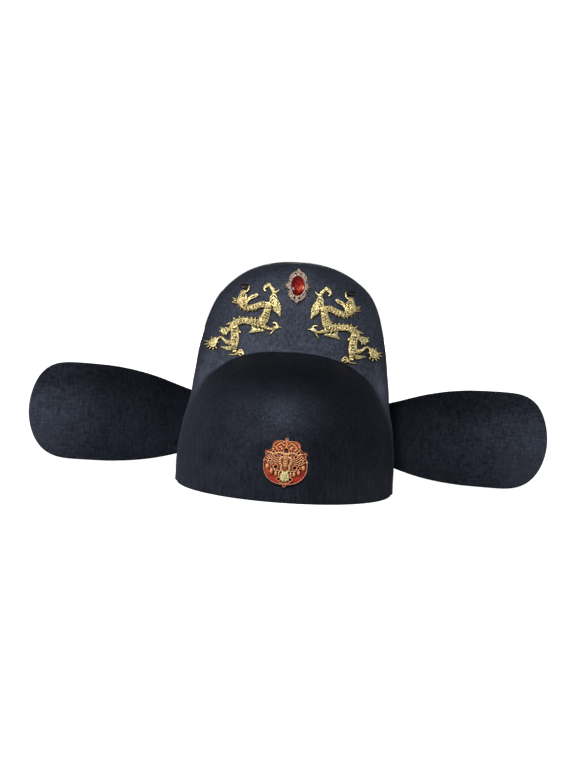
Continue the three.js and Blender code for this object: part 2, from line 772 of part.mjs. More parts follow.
function dragonGeometry() {
  const loops = inOrder(
    outlineOf(
      (x, z) => strokeDistance(DRAGON_LIMBS, x, z),
      -36,
      29,
      -31,
      31,
      0.5,
    ),
  ).map((l) => simplify(l, 0.16));
  const place = conform(onRaisedBack);
  return sheetOf(loops[0], loops.slice(1).filter((l) => Math.abs(THREE.ShapeUtils.area(l)) > 1.5), 7, (u, v, face) =>
    place(u - DRAGON_X, v + DRAGON_Z, face ? GAP + DRAGON_THICK : GAP),
  );
}

const jewelFoot = onRaisedBack(JEWEL_X, JEWEL_Z),
  jewelOut = crownNormal(jewelFoot).setX(0).normalize(),
  jewelUp = new THREE.Vector3().crossVectors(jewelOut, new THREE.Vector3(1, 0, 0)).normalize();
// near the stone the setting is flat, and its tips bend back along the felt
function jewelPoint(u, v, h) {
  const flat = jewelFoot
    .clone()
    .add(new THREE.Vector3(u, 0, 0))
    .addScaledVector(jewelUp, v / jewelUp.z)
    .addScaledVector(jewelOut, h);
  const p = onRaisedBack(JEWEL_X + u, JEWEL_Z + v);
  const bent = p.clone().addScaledVector(crownNormal(p), h);
  return flat.lerp(bent, smooth(7.5, 14, Math.hypot(u * 1.3, v)));
}
const oval = (w, l, n) =>
  Array.from({ length: n }, (_, i) => {
    const a = (i / n) * 2 * Math.PI;
    return new THREE.Vector2(w * Math.cos(a), l * Math.sin(a));
  });
function settingGeometry() {
  const lean = jewelUp.z; // front view lengths of what lies on the leaning frame
  const field = (x, z) =>
    Math.min(
      (Math.hypot(x / 6.4, z / 9) - 1) * 6.4,
      strokeDistance(SETTING_POINTS, Math.abs(x), Math.abs(z)),
      ...SETTING_LOBES.map((l) => Math.hypot(Math.abs(x) - l.x, Math.abs(z) - l.z) - l.r),
    );
  const contour = simplify(
    inOrder(outlineOf(field, -11, 11, -15, 15, 0.35))[0],
    0.12,
  );
  const holes = SETTING_HOLES.flatMap(({ x, z, r }) =>
    [1, -1].flatMap((a) =>
      [1, -1].map((b) =>
        oval(r, r, 6).map((p) => p.add(new THREE.Vector2(a * x, b * z))),
      ),
    ),
  );
  const plate = sheetOf(contour, holes, 7, (u, v, face) =>
    jewelPoint(u, v, face ? GAP + SETTING_THICK : GAP),
  );
  const inner = oval(STONE_HALF_W + GAP, (STONE_HALF_L + GAP) * lean, 24),
    outer = oval(
      STONE_HALF_W + GAP + BEZEL_WALL,
      (STONE_HALF_L + GAP + BEZEL_WALL) * lean,
      24,
    );
  const bezel = sheetOf(outer, [inner.reverse()], 5, (u, v, face) =>
    jewelPoint(u, v, face ? BEZEL_TOP : GAP + SETTING_THICK / 2),
  );
  return geometryFrom(solidOf(plate).add(solidOf(bezel)));
}
// facets of the stone: rings from its back to its table, scale and height
const STONE_RINGS = [
  { scale: 0.8, h: 0.0, turn: 0 },
  { scale: 1.0, h: 0.35, turn: 0 },
  { scale: 0.8, h: 0.75, turn: 0.5 },
  { scale: 0.52, h: 1.0, turn: 0 },
];
function stoneGeometry() {
  const points = [],
    triangles = [],
    n = STONE_SIDES;
  for (const ring of STONE_RINGS)
    for (let i = 0; i < n; i++) {
      const a = ((i + ring.turn) / n) * 2 * Math.PI;
      points.push(
        new THREE.Vector3(
          STONE_HALF_W * ring.scale * Math.cos(a),
          STONE_HALF_L * ring.scale * Math.sin(a),
          STONE_LOW + STONE_THICK * ring.h,
        ),
      );
    }
  for (let r = 0; r < STONE_RINGS.length - 1; r++)
    for (let i = 0; i < n; i++) {
      const j = (i + 1) % n,
        a = r * n + i,
        b = r * n + j,
        c = a + n,
        d = b + n;
      if (STONE_RINGS[r + 1].turn >= STONE_RINGS[r].turn)
        triangles.push([a, b, c], [b, d, c]);
      else triangles.push([a, b, d], [a, d, c]);
    }
  const last = (STONE_RINGS.length - 1) * n;
  for (let i = 1; i < n - 1; i++)
    triangles.push([0, i + 1, i], [last, last + i, last + i + 1]);
  return geometryOf(points, triangles);
}
function medallionGeometry() {
  const { halfWidth, middle, halfHeight, fullness } = MEDAL_FACE;
  const field = (x, z) =>
    Math.min(
      (((Math.abs(x) / halfWidth) ** fullness + (Math.abs(z - middle) / halfHeight) ** fullness) ** (1 / fullness) - 1) *
        15.5,
      ...MEDAL_DISCS.map((d) => Math.hypot(Math.abs(x) - d.x, z - d.z) - d.r),
    );
  const contour = simplify(
    inOrder(outlineOf(field, -20, 20, -22, 22, 0.5))[0],
    0.1,
  );
  const place = conform(onDome);
  return sheetOf(contour, [], 5, (u, v, face) => {
    const r = Math.min(1, Math.hypot(u / 16.5, v / 18.5));
    const h = GAP + MEDAL_RIM + MEDAL_RISE * (1 - r * r);
    return place(MEDAL_X + u, MEDAL_Z + v, face ? h : GAP);
  });
}

// ---------- the hat ----------
const felt = (color) =>
  new THREE.MeshStandardMaterial({ color, roughness: 0.95, metalness: 0 });
const metal = (color, roughness) =>
  new THREE.MeshStandardMaterial({ color, roughness, metalness: 1 });

const hat = new THREE.Group();
hat.position.y = -CENTRE_Y;
function piece(name, geometry, material) {
  const mesh = new THREE.Mesh(geometry, material);
  mesh.name = name;
  hat.add(mesh);
  return mesh;
}
piece("crown", crownGeometry(), felt(0x262b36));
piece("wing_right", wingGeometry(1), felt(0x272c37));
piece("wing_left", wingGeometry(-1), felt(0x272c37));
piece("wing_keeper", keeperGeometry(), felt(0x20242d));
const dragon = dragonGeometry();
piece("dragon_left", dragon, metal(0xc9b57c, 0.42));
piece("dragon_right", mirrored(dragon), metal(0xc9b57c, 0.42));
piece("jewel_setting", settingGeometry(), metal(0xa89a8c, 0.35));
const stone = piece(
  "red_stone",
  stoneGeometry(),
  new THREE.MeshStandardMaterial({ color: 0x9a2a1c, roughness: 0.08, metalness: 0 }),
);
stone.position.copy(jewelFoot);
stone.quaternion.setFromRotationMatrix(
  new THREE.Matrix4().makeBasis(new THREE.Vector3(1, 0, 0), jewelUp, jewelOut),
);
piece("medallion", medallionGeometry(), metal(0xb08850, 0.4));

export default hat;
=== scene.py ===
import math

import bpy
import numpy as np
from mathutils import Matrix, Vector


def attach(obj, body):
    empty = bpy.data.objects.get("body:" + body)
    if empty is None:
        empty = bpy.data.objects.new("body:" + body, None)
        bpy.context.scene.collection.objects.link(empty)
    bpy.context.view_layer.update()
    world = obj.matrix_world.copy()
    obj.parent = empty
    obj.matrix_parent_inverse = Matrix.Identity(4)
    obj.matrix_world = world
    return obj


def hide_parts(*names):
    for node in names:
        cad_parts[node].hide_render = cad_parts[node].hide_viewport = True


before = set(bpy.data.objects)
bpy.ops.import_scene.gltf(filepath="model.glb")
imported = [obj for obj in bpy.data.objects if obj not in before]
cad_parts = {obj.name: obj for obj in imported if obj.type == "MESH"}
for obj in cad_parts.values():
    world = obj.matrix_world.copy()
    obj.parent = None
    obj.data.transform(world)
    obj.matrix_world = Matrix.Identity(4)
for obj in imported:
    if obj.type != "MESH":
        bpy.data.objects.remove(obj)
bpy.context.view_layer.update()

# ---------------------------------------------------------------- named sizes, as in the CAD part
GAP = 0.3
WALL = 2.0
CENTRE_Y = -0.083
BACK_H, BACK_W, BACK_TAPER, BACK_P, BACK_Q, BACK_N = 176.0, 86.2, 18.6, 8.0, 2.1, 2.6
BACK_SECTIONS = np.array(
    [  # height, front, back, widest line
        (0, -24, 95, 10),
        (50, -19, 94, 16),
        (108, -8, 90, 25),
        (130, -2, 87, 30),
        (150, 4, 82, 35.5),
        (160, 8, 77, 38.5),
        (168, 12.5, 71, 41),
        (172.5, 16.5, 64.5, 42.5),
        (174.9, 22, 57, 43.5),
        (175.7, 30, 51, 44),
        (176.0, 43.8, 44.2, 44),
    ],
    float,
)
DOME_H, DOME_W, DOME_FRONT, DOME_BACK, DOME_Y, DOME_UP, DOME_N = (
    107.4,
    85.0,
    106.0,
    91.0,
    4.0,
    2.7,
    2.05,
)
VALLEY_TOP, VALLEY_SIDE = 3.0, 7.0
TOP_FULLNESS = [(-61, -60, -0.6), (-60, -5, 1.2), (46, 64, 1.1)]  # from x, to x, gain
AXIS_Y, AXIS_Z = 44.0, 30.0

WING_THICK = 3.0
WING_SECTIONS = np.array(
    [  # x, y, middle height, half height
        (2, 99.8, 40.0, 8.4),
        (24, 99.2, 40.0, 8.6),
        (42, 96.4, 40.1, 12.0),
        (62, 88.5, 40.2, 18.5),
        (84, 77.0, 40.6, 26.2),
        (113, 64.0, 42.4, 34.5),
        (130, 59.0, 43.3, 37.3),
        (146, 55.4, 43.9, 38.7),
        (170, 52.0, 44.3, 39.2),
        (209, 49.4, 44.3, 39.2),
    ],
    float,
)
TIP_START, TIP_END, TIP_TOP, TIP_LOW, TIP_POWER = 165.0, 208.9, 4.0, 3.4, 0.54
WING_BULGE = 5.0
NECK_START, NECK_END = 21.0, 46.0
KEEPER_HALF, KEEPER_Z, KEEPER_HIGH, KEEPER_WALL, KEEPER_SLOT = 20.0, 40.0, 11.0, 1.5, 4.4

DRAGON_X, DRAGON_Z = 37.0, 130.0
# limbs of one dragon: name, kind, from, bend, to (mm from its middle), half-widths at both ends
DRAGON_LIMBS = [
    ("skull", "head", -5.4, 20.6, -5.9, 17.5, -6.8, 14.1, 2.20, 3.30),
    ("snout", "head", -3.6, 18.6, -3.2, 15.7, -3.6, 12.7, 1.84, 2.11),
    ("brow", "head", -5.4, 20.9, -4.3, 21.9, -3.2, 21.8, 1.47, 0.92),
    ("stem", "claw", -3.2, 21.8, -1.6, 23.3, -1.0, 26.0, 0.73, 0.78),
    ("whisker_a", "thin", -1.3, 25.8, -4.3, 27.5, -8.3, 27.0, 0.37, 0.28),
    ("whisker_b", "thin", -1.8, 24.5, -4.6, 24.8, -8.5, 24.9, 0.32, 0.23),
    ("jaw", "head", -3.2, 12.5, -0.9, 16.1, 1.7, 19.1, 1.74, 0.96),
    ("jaw_mid", "head", 1.7, 19.1, 2.9, 19.5, 4.2, 19.8, 0.92, 0.78),
    ("jaw_tip", "head", 4.0, 19.8, 4.9, 20.2, 5.6, 20.2, 0.92, 1.29),
    ("lip", "head", -0.3, 15.7, 2.6, 17.6, 5.4, 18.7, 0.73, 0.55),
    ("mane_a", "hair", -8.3, 15.5, -10.6, 15.5, -13.2, 16.2, 1.84, 0.28),
    ("mane_b", "hair", -8.7, 13.4, -11.1, 13.0, -13.8, 12.9, 1.93, 0.28),
    ("mane_c", "hair", -9.2, 14.7, -11.1, 14.5, -12.6, 14.5, 1.38, 0.37),
    ("mane_d", "hair", -6.9, 12.5, -8.3, 11.1, -9.3, 10.1, 2.07, 0.37),
    ("beard_a", "hair", -5.7, 11.1, -5.9, 9.3, -6.7, 8.1, 2.11, 0.41),
    ("beard_b", "hair", -3.2, 10.2, -3.2, 8.2, -3.8, 6.8, 2.11, 0.41),
    ("beard_c", "hair", -0.4, 8.9, -0.8, 7.4, -1.1, 6.4, 1.56, 0.37),
    ("beard_d", "hair", 2.6, 9.3, 2.9, 7.9, 3.3, 7.1, 1.19, 0.41),
    ("neck", "body", -5.0, 12.1, -1.8, 9.8, 1.7, 10.1, 2.85, 2.39),
    ("neck_mid", "body", 1.7, 10.1, 5.2, 11.2, 8.4, 12.6, 2.39, 2.48),
    ("nape", "body", 8.4, 12.6, 11.2, 13.2, 14.9, 12.4, 2.48, 2.85),
    ("shoulder", "body", 14.9, 12.4, 15.0, 10.7, 14.4, 8.6, 3.12, 2.85),
    ("curl", "flame", 12.0, 23.6, 11.2, 26.0, 13.4, 28.2, 0.85, 1.7),
    ("curl_top", "flame", 13.4, 28.2, 15.2, 28.2, 16.6, 26.3, 1.56, 1.33),
    ("curl_tip", "claw", 13.3, 28.3, 13.8, 29.3, 14.4, 30.1, 1.0, 0.4),
    ("flame_stem", "flame", 16.6, 26.3, 18.3, 24.5, 18.9, 22.0, 1.33, 1.74),
    ("flame_spur", "claw", 17.9, 24.3, 20.6, 23.8, 22.7, 25.8, 1.2, 0.4),
    ("flame_body", "flame", 18.9, 22.0, 18.8, 18.4, 19.6, 14.5, 1.93, 4.50),
    ("flame_low", "flame", 20.0, 14.8, 22.0, 11.4, 23.0, 8.9, 4.13, 2.11),
    ("flame_tip", "flame", 23.0, 8.9, 24.1, 6.8, 24.6, 5.0, 1.93, 0.37),
    ("flame_side", "flame", 21.4, 15.0, 23.9, 13.0, 24.9, 10.5, 2.20, 0.46),
    ("flame_lobe", "flame", 19.6, 11.6, 20.1, 9.7, 21.2, 8.1, 1.93, 0.55),
    ("trunk", "belly", 14.4, 8.9, 13.6, 5.2, 12.0, 1.2, 2.75, 3.86),
    ("chest", "body", 12.0, 1.2, 11.3, -1.3, 12.1, -3.5, 3.95, 2.39),
    ("trunk_fin", "claw", 10.0, 4.3, 8.7, 3.6, 7.8, 2.3, 1.19, 0.32),
    ("foreleg", "body", 11.7, -3.3, 14.9, -4.5, 17.7, -5.2, 2.07, 1.15),
    ("wrist", "body", 17.7, -5.2, 19.6, -5.1, 21.6, -4.1, 1.15, 1.56),
    ("hand", "head", 21.6, -4.1, 22.4, -3.7, 23.1, -3.3, 1.61, 1.74),
    ("claw_a", "claw", 23.0, -3.2, 24.7, -3.3, 26.8, -3.7, 1.38, 0.23),
    ("claw_b", "claw", 22.9, -2.1, 22.1, -0.6, 20.0, -0.3, 1.10, 0.73),
    ("claw_b_tip", "claw", 20.0, -0.3, 19.3, -0.5, 18.9, -1.3, 0.73, 0.28),
    ("claw_c", "claw", 20.9, -5.2, 19.6, -7.2, 17.4, -10.1, 1.19, 0.32),
    ("fin_root", "fin", 12.5, -6.8, 9.0, -6.6, 5.7, -6.8, 1.10, 2.39),
    ("fin_leaf", "fin", 5.7, -6.8, 3.8, -7.9, 1.7, -9.5, 2.39, 0.60),
    ("fin_up", "fin", 4.3, -5.4, 3.7, -4.4, 3.2, -3.7, 1.19, 0.32),
    ("belly", "body", 9.0, -3.2, 6.6, -3.3, 4.2, -2.9, 1.93, 1.47),
    ("back", "body", 8.9, -0.9, 4.2, -0.9, -0.9, -0.7, 2.66, 2.57),
    ("back_mid", "body", -0.9, -0.7, -5.0, -0.8, -8.7, -2.7, 2.57, 2.75),
    ("rump", "body", -8.7, -2.7, -11.0, -4.5, -12.0, -7.5, 2.66, 2.75),
    ("loin_a", "body", -10.5, -5.9, -9.7, -8.8, -9.4, -12.0, 3.49, 3.30),
    ("loin_b", "body", -9.4, -12.0, -9.3, -15.6, -9.9, -19.3, 3.30, 3.67),
    ("loin_c", "body", -9.4, -19.3, -9.0, -22.0, -9.0, -24.5, 2.66, 1.56),
    ("spike_a", "claw", 6.3, 0.8, 5.7, 2.0, 5.2, 2.7, 1.10, 0.28),
    ("spike_b", "claw", 3.1, 0.9, 2.5, 2.2, 1.8, 2.8, 1.10, 0.28),
    ("spike_c", "claw", -0.1, 1.0, -0.6, 2.2, -1.2, 2.8, 1.10, 0.28),
    ("spike_d", "claw", -3.4, 0.9, -3.8, 2.1, -4.4, 2.8, 1.10, 0.28),
    ("spike_e", "claw", -6.2, 0.5, -6.7, 1.8, -7.3, 2.8, 1.10, 0.37),
    ("spike_f", "claw", -9.3, -0.9, -10.5, 0.2, -11.7, 1.2, 1.29, 0.37),
    ("spike_g", "claw", -11.8, -2.9, -14.3, -3.6, -17.1, -4.6, 1.65, 0.32),
    ("spike_h", "claw", 6.1, 9.9, 5.6, 8.7, 4.9, 8.1, 1.10, 0.32),
    ("spur", "claw", -7.1, -8.5, -6.3, -9.1, -5.6, -9.6, 1.38, 0.96),
    ("side_fin", "fin", -14.1, -8.2, -16.5, -9.0, -18.4, -9.6, 2.1, 2.75),
    ("side_fin_a", "fin", -18.4, -8.8, -20.1, -8.0, -21.5, -7.5, 1.56, 0.32),
    ("side_fin_b", "fin", -18.7, -10.0, -20.5, -10.1, -21.9, -10.2, 1.65, 0.32),
    ("side_fin_c", "fin", -18.0, -10.6, -18.3, -11.8, -18.7, -12.8, 1.84, 0.46),
    ("side_fin_d", "fin", -17.1, -10.4, -16.5, -11.6, -16.2, -12.6, 1.56, 0.46),
    ("hock", "body", -11.2, -18.2, -14.8, -18.1, -17.9, -16.2, 2.3, 1.25),
    ("knee", "body", -17.9, -16.2, -19.5, -14.9, -21.2, -15.1, 1.2, 0.95),
    ("shank", "body", -21.2, -15.1, -22.7, -16.1, -24.4, -17.2, 0.76, 1.21),
    ("paw", "head", -24.2, -17.4, -25.2, -18.8, -26.0, -20.2, 2.2, 3.3),
    ("toe_a", "claw", -28.1, -19.6, -30.6, -19.3, -33.3, -19.0, 1.21, 0.25),
    ("toe_b", "claw", -28.1, -20.7, -30.6, -21.2, -33.2, -22.2, 1.21, 0.25),
    ("toe_c", "claw", -27.6, -21.7, -29.4, -22.7, -30.9, -23.9, 1.21, 0.30),
    ("toe_d", "claw", -27.0, -22.2, -27.8, -23.7, -28.7, -25.0, 1.11, 0.30),
    ("toe_e", "claw", -25.8, -22.4, -25.7, -23.9, -25.5, -25.4, 1.11, 0.30),
    ("toe_f", "claw", -24.5, -21.7, -23.7, -22.7, -23.1, -23.9, 1.11, 0.35),
    ("thumb", "claw", -24.0, -19.7, -22.7, -18.8, -21.7, -19.3, 1.11, 0.40),
    ("paw_up", "claw", -26.5, -18.2, -27.1, -16.5, -27.5, -15.1, 1.11, 0.30),
    ("calf", "fin", -11.5, -22.1, -15.4, -22.5, -19.4, -22.1, 2.0, 0.7),
    ("calf_low", "fin", -10.0, -22.7, -13.3, -23.7, -16.4, -23.5, 1.41, 0.40),
    ("ankle", "body", -8.8, -23.9, -7.7, -25.2, -6.6, -26.0, 1.41, 1.21),
    ("foot_up", "claw", -6.5, -25.5, -3.9, -23.1, -1.4, -26.1, 1.11, 0.45),
    ("foot_mid", "claw", -5.2, -25.3, -3.2, -25.2, -2.0, -26.6, 1.21, 0.45),
    ("foot_low", "claw", -6.5, -26.4, -4.9, -26.8, -3.3, -27.4, 1.01, 0.50),
    ("foot_back", "claw", -7.0, -26.8, -9.8, -27.3, -12.6, -27.6, 0.86, 0.60),
]
# creases cut between the limbs: from, bend, to, half-widths
DRAGON_GROOVES = [
    (6.3, 1.7, 8.4, -1.8, 10.2, -5.2, 0.32, 0.32),
    (11.7, 9.9, 14.7, 9.9, 17.5, 10.8, 0.28, 0.28),
    (-1.6, 8.4, -3.2, 11.1, -4.6, 11.1, 0.23, 0.23),
    (-14.3, -6.1, -12.9, -8.6, -13.6, -11.1, 0.28, 0.28),
    (-7.8, -5.7, -8.3, -7.9, -7.1, -10.2, 0.23, 0.23),
    (0.5, 12.1, -0.9, 11.1, -1.6, 8.9, 0.23, 0.23),
    (17.7, -3.4, 18.3, -4.7, 18.1, -6.6, 0.23, 0.23),
]
DRAGON_HOLES = [(-11.9, -20.45, 0.7)]
DRAGON_EYE = (-4.7, 18.7, 0.85)
SHADE_BORDER = 0.12  # the outline is widened by this much, to carry a painted shade border round the casting
LEAF = {"fin": 1.0, "flame": 0.5, "thin": -1.0}  # paler leaves, darker whiskers

JEWEL_X, JEWEL_Z = 0.0, 158.9
STONE_HALF_W, STONE_HALF_L, STONE_LOW, STONE_THICK = 5.4, 8.3, 1.6, 3.0
MEDAL_X, MEDAL_Z = 0.0, 31.3


# ---------------------------------------------------------------- curves through tables
def pchip(xs, ys, x):
    """Monotone cubic through a table's rows."""
    h = np.diff(xs)
    d = np.diff(ys) / h
    m = np.zeros_like(ys)
    for i in range(1, len(xs) - 1):
        if d[i - 1] * d[i] > 0:
            a, b = 2 * h[i] + h[i - 1], h[i] + 2 * h[i - 1]
            m[i] = (a + b) / (a / d[i - 1] + b / d[i])
    m[0], m[-1] = d[0], d[-1]
    x = np.clip(x, xs[0], xs[-1])
    i = np.clip(np.searchsorted(xs, x, side="right") - 1, 0, len(xs) - 2)
    t = (x - xs[i]) / h[i]
    return (
        ys[i] * (1 + 2 * t) * (1 - t) ** 2
        + m[i] * h[i] * t * (1 - t) ** 2
        + ys[i + 1] * t * t * (3 - 2 * t)
        + m[i + 1] * h[i] * t * t * (t - 1)
    )


def smooth(a, b, x):
    t = np.clip((x - a) / (b - a), 0, 1)
    return t * t * (3 - 2 * t)


# the table of the raised back, resampled finely once
_Z = np.linspace(0, BACK_H, 3521)
_SECTION = [pchip(BACK_SECTIONS[:, 0], BACK_SECTIONS[:, k], _Z) for k in (1, 2, 3)]


def raised_back(x, y, z):
    zz = np.clip(z, 0, BACK_H - 0.05)
    u = zz / BACK_H
    w = np.maximum(0.3, (BACK_W - BACK_TAPER * u) * (1 - u**BACK_P) ** (1 / BACK_Q))
    front, back, widest = (np.interp(zz, _Z, s) for s in _SECTION)
    dy = y - widest
    d = np.maximum(0.3, np.where(dy < 0, widest - front, back - widest))
    r = ((np.abs(x) / w) ** BACK_N + (np.abs(dy) / d) ** BACK_N) ** (1 / BACK_N)
    scale = np.maximum(1, np.hypot(x, dy) / np.maximum(r, 1e-6))
    return np.maximum((r - 1) * scale, z - BACK_H)


def front_dome(x, y, z):
    dy = y - DOME_Y
    d = np.where(dy < 0, DOME_FRONT, DOME_BACK)
    plan = ((np.abs(x) / DOME_W) ** DOME_N + (np.abs(dy) / d) ** DOME_N) ** (1 / DOME_N)
    g = (plan**DOME_UP + (np.maximum(z, 0) / DOME_H) ** DOME_UP) ** (1 / DOME_UP)
    return (g - 1) * (np.sqrt(x * x + dy * dy + z * z) / np.maximum(g, 1e-6))


def crown_field(x, y, z):
    a, b = raised_back(x, y, z), front_dome(x, y, z)
    k = VALLEY_TOP + VALLEY_SIDE * (1 - smooth(45, 100, z)) * smooth(-10, 35, z)
    h = np.clip(0.5 + 0.5 * (b - a) / k, 0, 1)
    return b * (1 - h) + a * h - k * h * (1 - h)


def crown_normal(p, field=crown_field):
    e = 0.05
    x, y, z = p[..., 0], p[..., 1], p[..., 2]
    g = np.stack(
        [
            field(x + e, y, z) - field(x - e, y, z),
            field(x, y + e, z) - field(x, y - e, z),
            field(x, y, z + e) - field(x, y, z - e),
        ],
        -1,
    )
    return g / np.maximum(np.linalg.norm(g, axis=-1, keepdims=True), 1e-9)


def leave_y(x, z, start, way, field=crown_field):
    """Where a line along Y from inside leaves the crown."""
    x, z = np.asarray(x, float), np.asarray(z, float)
    lo = np.full(x.shape, float(start))
    hi, found = lo.copy(), np.zeros(x.shape, bool)
    y = lo.copy()
    for _ in range(90):
        step = y + 2.0 * way
        out = (field(x, step, z) > 0) & ~found
        hi = np.where(out, step, hi)
        lo = np.where(out, y, lo)
        found |= out
        y = np.where(found, y, step)
        if found.all():
            break
    for _ in range(24):
        m = (lo + hi) / 2
        out = field(x, m, z) > 0
        hi, lo = np.where(out, m, hi), np.where(out, lo, m)
    return np.stack([x, (lo + hi) / 2, z], -1)


def on_raised_back(x, z):
    return leave_y(x, z, 30.0, -1)


def on_dome(x, z):
    return leave_y(x, z, 0.0, -1)


def on_rear(x, z):
    return leave_y(x, z, 40.0, 1)


# a soft unevenness, as hand-pulled felt has: a few fixed plane waves
_rng = np.random.default_rng(11)
_WAVES = [
    (_rng.normal(size=3), _rng.uniform(0, 6.28), length, size)
    for length, size in ((70, 0.30), (52, 0.22), (38, 0.16), (27, 0.10), (19, 0.06), (13, 0.035), (9, 0.02))
    for _ in range(3)
]


def unevenness(p):
    out = np.zeros(p.shape[:-1])
    for direction, phase, length, size in _WAVES:
        d = direction / np.linalg.norm(direction)
        out += size * np.sin(p @ d * (2 * math.pi / length) + phase)
    return out * 0.55


# ---------------------------------------------------------------- mesh making
def to_metres(p):
    return (np.asarray(p, float) - np.array([0, CENTRE_Y, 0])) * 0.001


def make(name, points, faces, replaces=(), smooth_faces=True, flip=False):
    mesh = bpy.data.meshes.new(name)
    faces = np.asarray(faces, np.int32) if not isinstance(faces, list) else faces
    if isinstance(faces, np.ndarray):
        if flip:
            faces = faces[:, ::-1]
        n, k = faces.shape
        mesh.vertices.add(len(points))
        mesh.vertices.foreach_set("co", to_metres(points).astype(np.float32).ravel())
        mesh.loops.add(n * k)
        mesh.loops.foreach_set("vertex_index", faces.ravel().astype(np.int32))
        mesh.polygons.add(n)
        mesh.polygons.foreach_set("loop_start", np.arange(0, n * k, k, dtype=np.int32))
        mesh.polygons.foreach_set("loop_total", np.full(n, k, np.int32))
    else:
        if flip:
            faces = [tuple(reversed(f)) for f in faces]
        mesh.from_pydata(to_metres(points).tolist(), [], faces)
    mesh.update(calc_edges=True)
    mesh.validate()
    mesh.polygons.foreach_set("use_smooth", np.full(len(mesh.polygons), smooth_faces))
    obj = bpy.data.objects.new(name, mesh)
    bpy.context.collection.objects.link(obj)
    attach(obj, "root")
    if replaces:
        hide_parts(*replaces)
    return obj


def give(obj, key, values):
    att = obj.data.attributes.new(key, "FLOAT", "POINT")
    att.data.foreach_set("value", np.asarray(values, np.float32))


def corners(obj):
    """A piece's corners back in the millimetres of the shape functions."""
    co = np.empty(len(obj.data.vertices) * 3, np.float32)
    obj.data.vertices.foreach_get("co", co)
    return co.reshape(-1, 3).astype(float) * 1000 + np.array([0, CENTRE_Y, 0])


# ---------------------------------------------------------------- the crown
def crown_lines(turns, rows, fine):
    """The outer surface as lines from its top to its rim, with rows closer where a line turns."""
    a = np.arange(turns) / turns * 2 * math.pi - math.pi / 2
    c, s = np.cos(a), np.sin(a)
    lo, hi = np.zeros(turns), np.full(turns, 220.0)
    for _ in range(40):
        m = (lo + hi) / 2
        inside = crown_field(c * m, AXIS_Y + s * m, np.zeros(turns)) < 0
        lo, hi = np.where(inside, m, lo), np.where(inside, hi, m)
    end = math.pi / 2 + np.arctan2(AXIS_Z, (lo + hi) / 2)
    t = np.linspace(0, 1, fine)[None, :] * end[:, None]
    dr, dz = np.sin(t), np.cos(t)
    lo, hi = np.zeros(t.shape), np.full(t.shape, 260.0)
    for _ in range(34):
        m = (lo + hi) / 2
        inside = crown_field(c[:, None] * dr * m, AXIS_Y + s[:, None] * dr * m, AXIS_Z + dz * m) < 0
        lo, hi = np.where(inside, m, lo), np.where(inside, hi, m)
    m = (lo + hi) / 2
    r, z = dr * m, AXIS_Z + dz * m
    out = np.zeros((turns, rows + 1, 3))
    ker = np.hanning(17)
    ker /= ker.sum()
    for i in range(turns):
        seg = np.hypot(np.diff(r[i]), np.diff(z[i]))
        ang = np.unwrap(np.arctan2(np.diff(z[i]), np.diff(r[i])))
        turn = np.convolve(np.concatenate([[0], np.abs(np.diff(ang))]), ker, mode="same")
        cum = np.concatenate([[0], np.cumsum(seg / seg.sum() + turn * 5.0 / (2 * math.pi))])
        q = np.linspace(0, cum[-1], rows + 1)
        out[i, :, 0] = c[i] * np.interp(q, cum, r[i])
        out[i, :, 1] = AXIS_Y + s[i] * np.interp(q, cum, r[i])
        out[i, :, 2] = np.interp(q, cum, z[i])
    out[:, 0] = (0, AXIS_Y, BACK_H)
    out[:, -1, 2] = 0
    return out


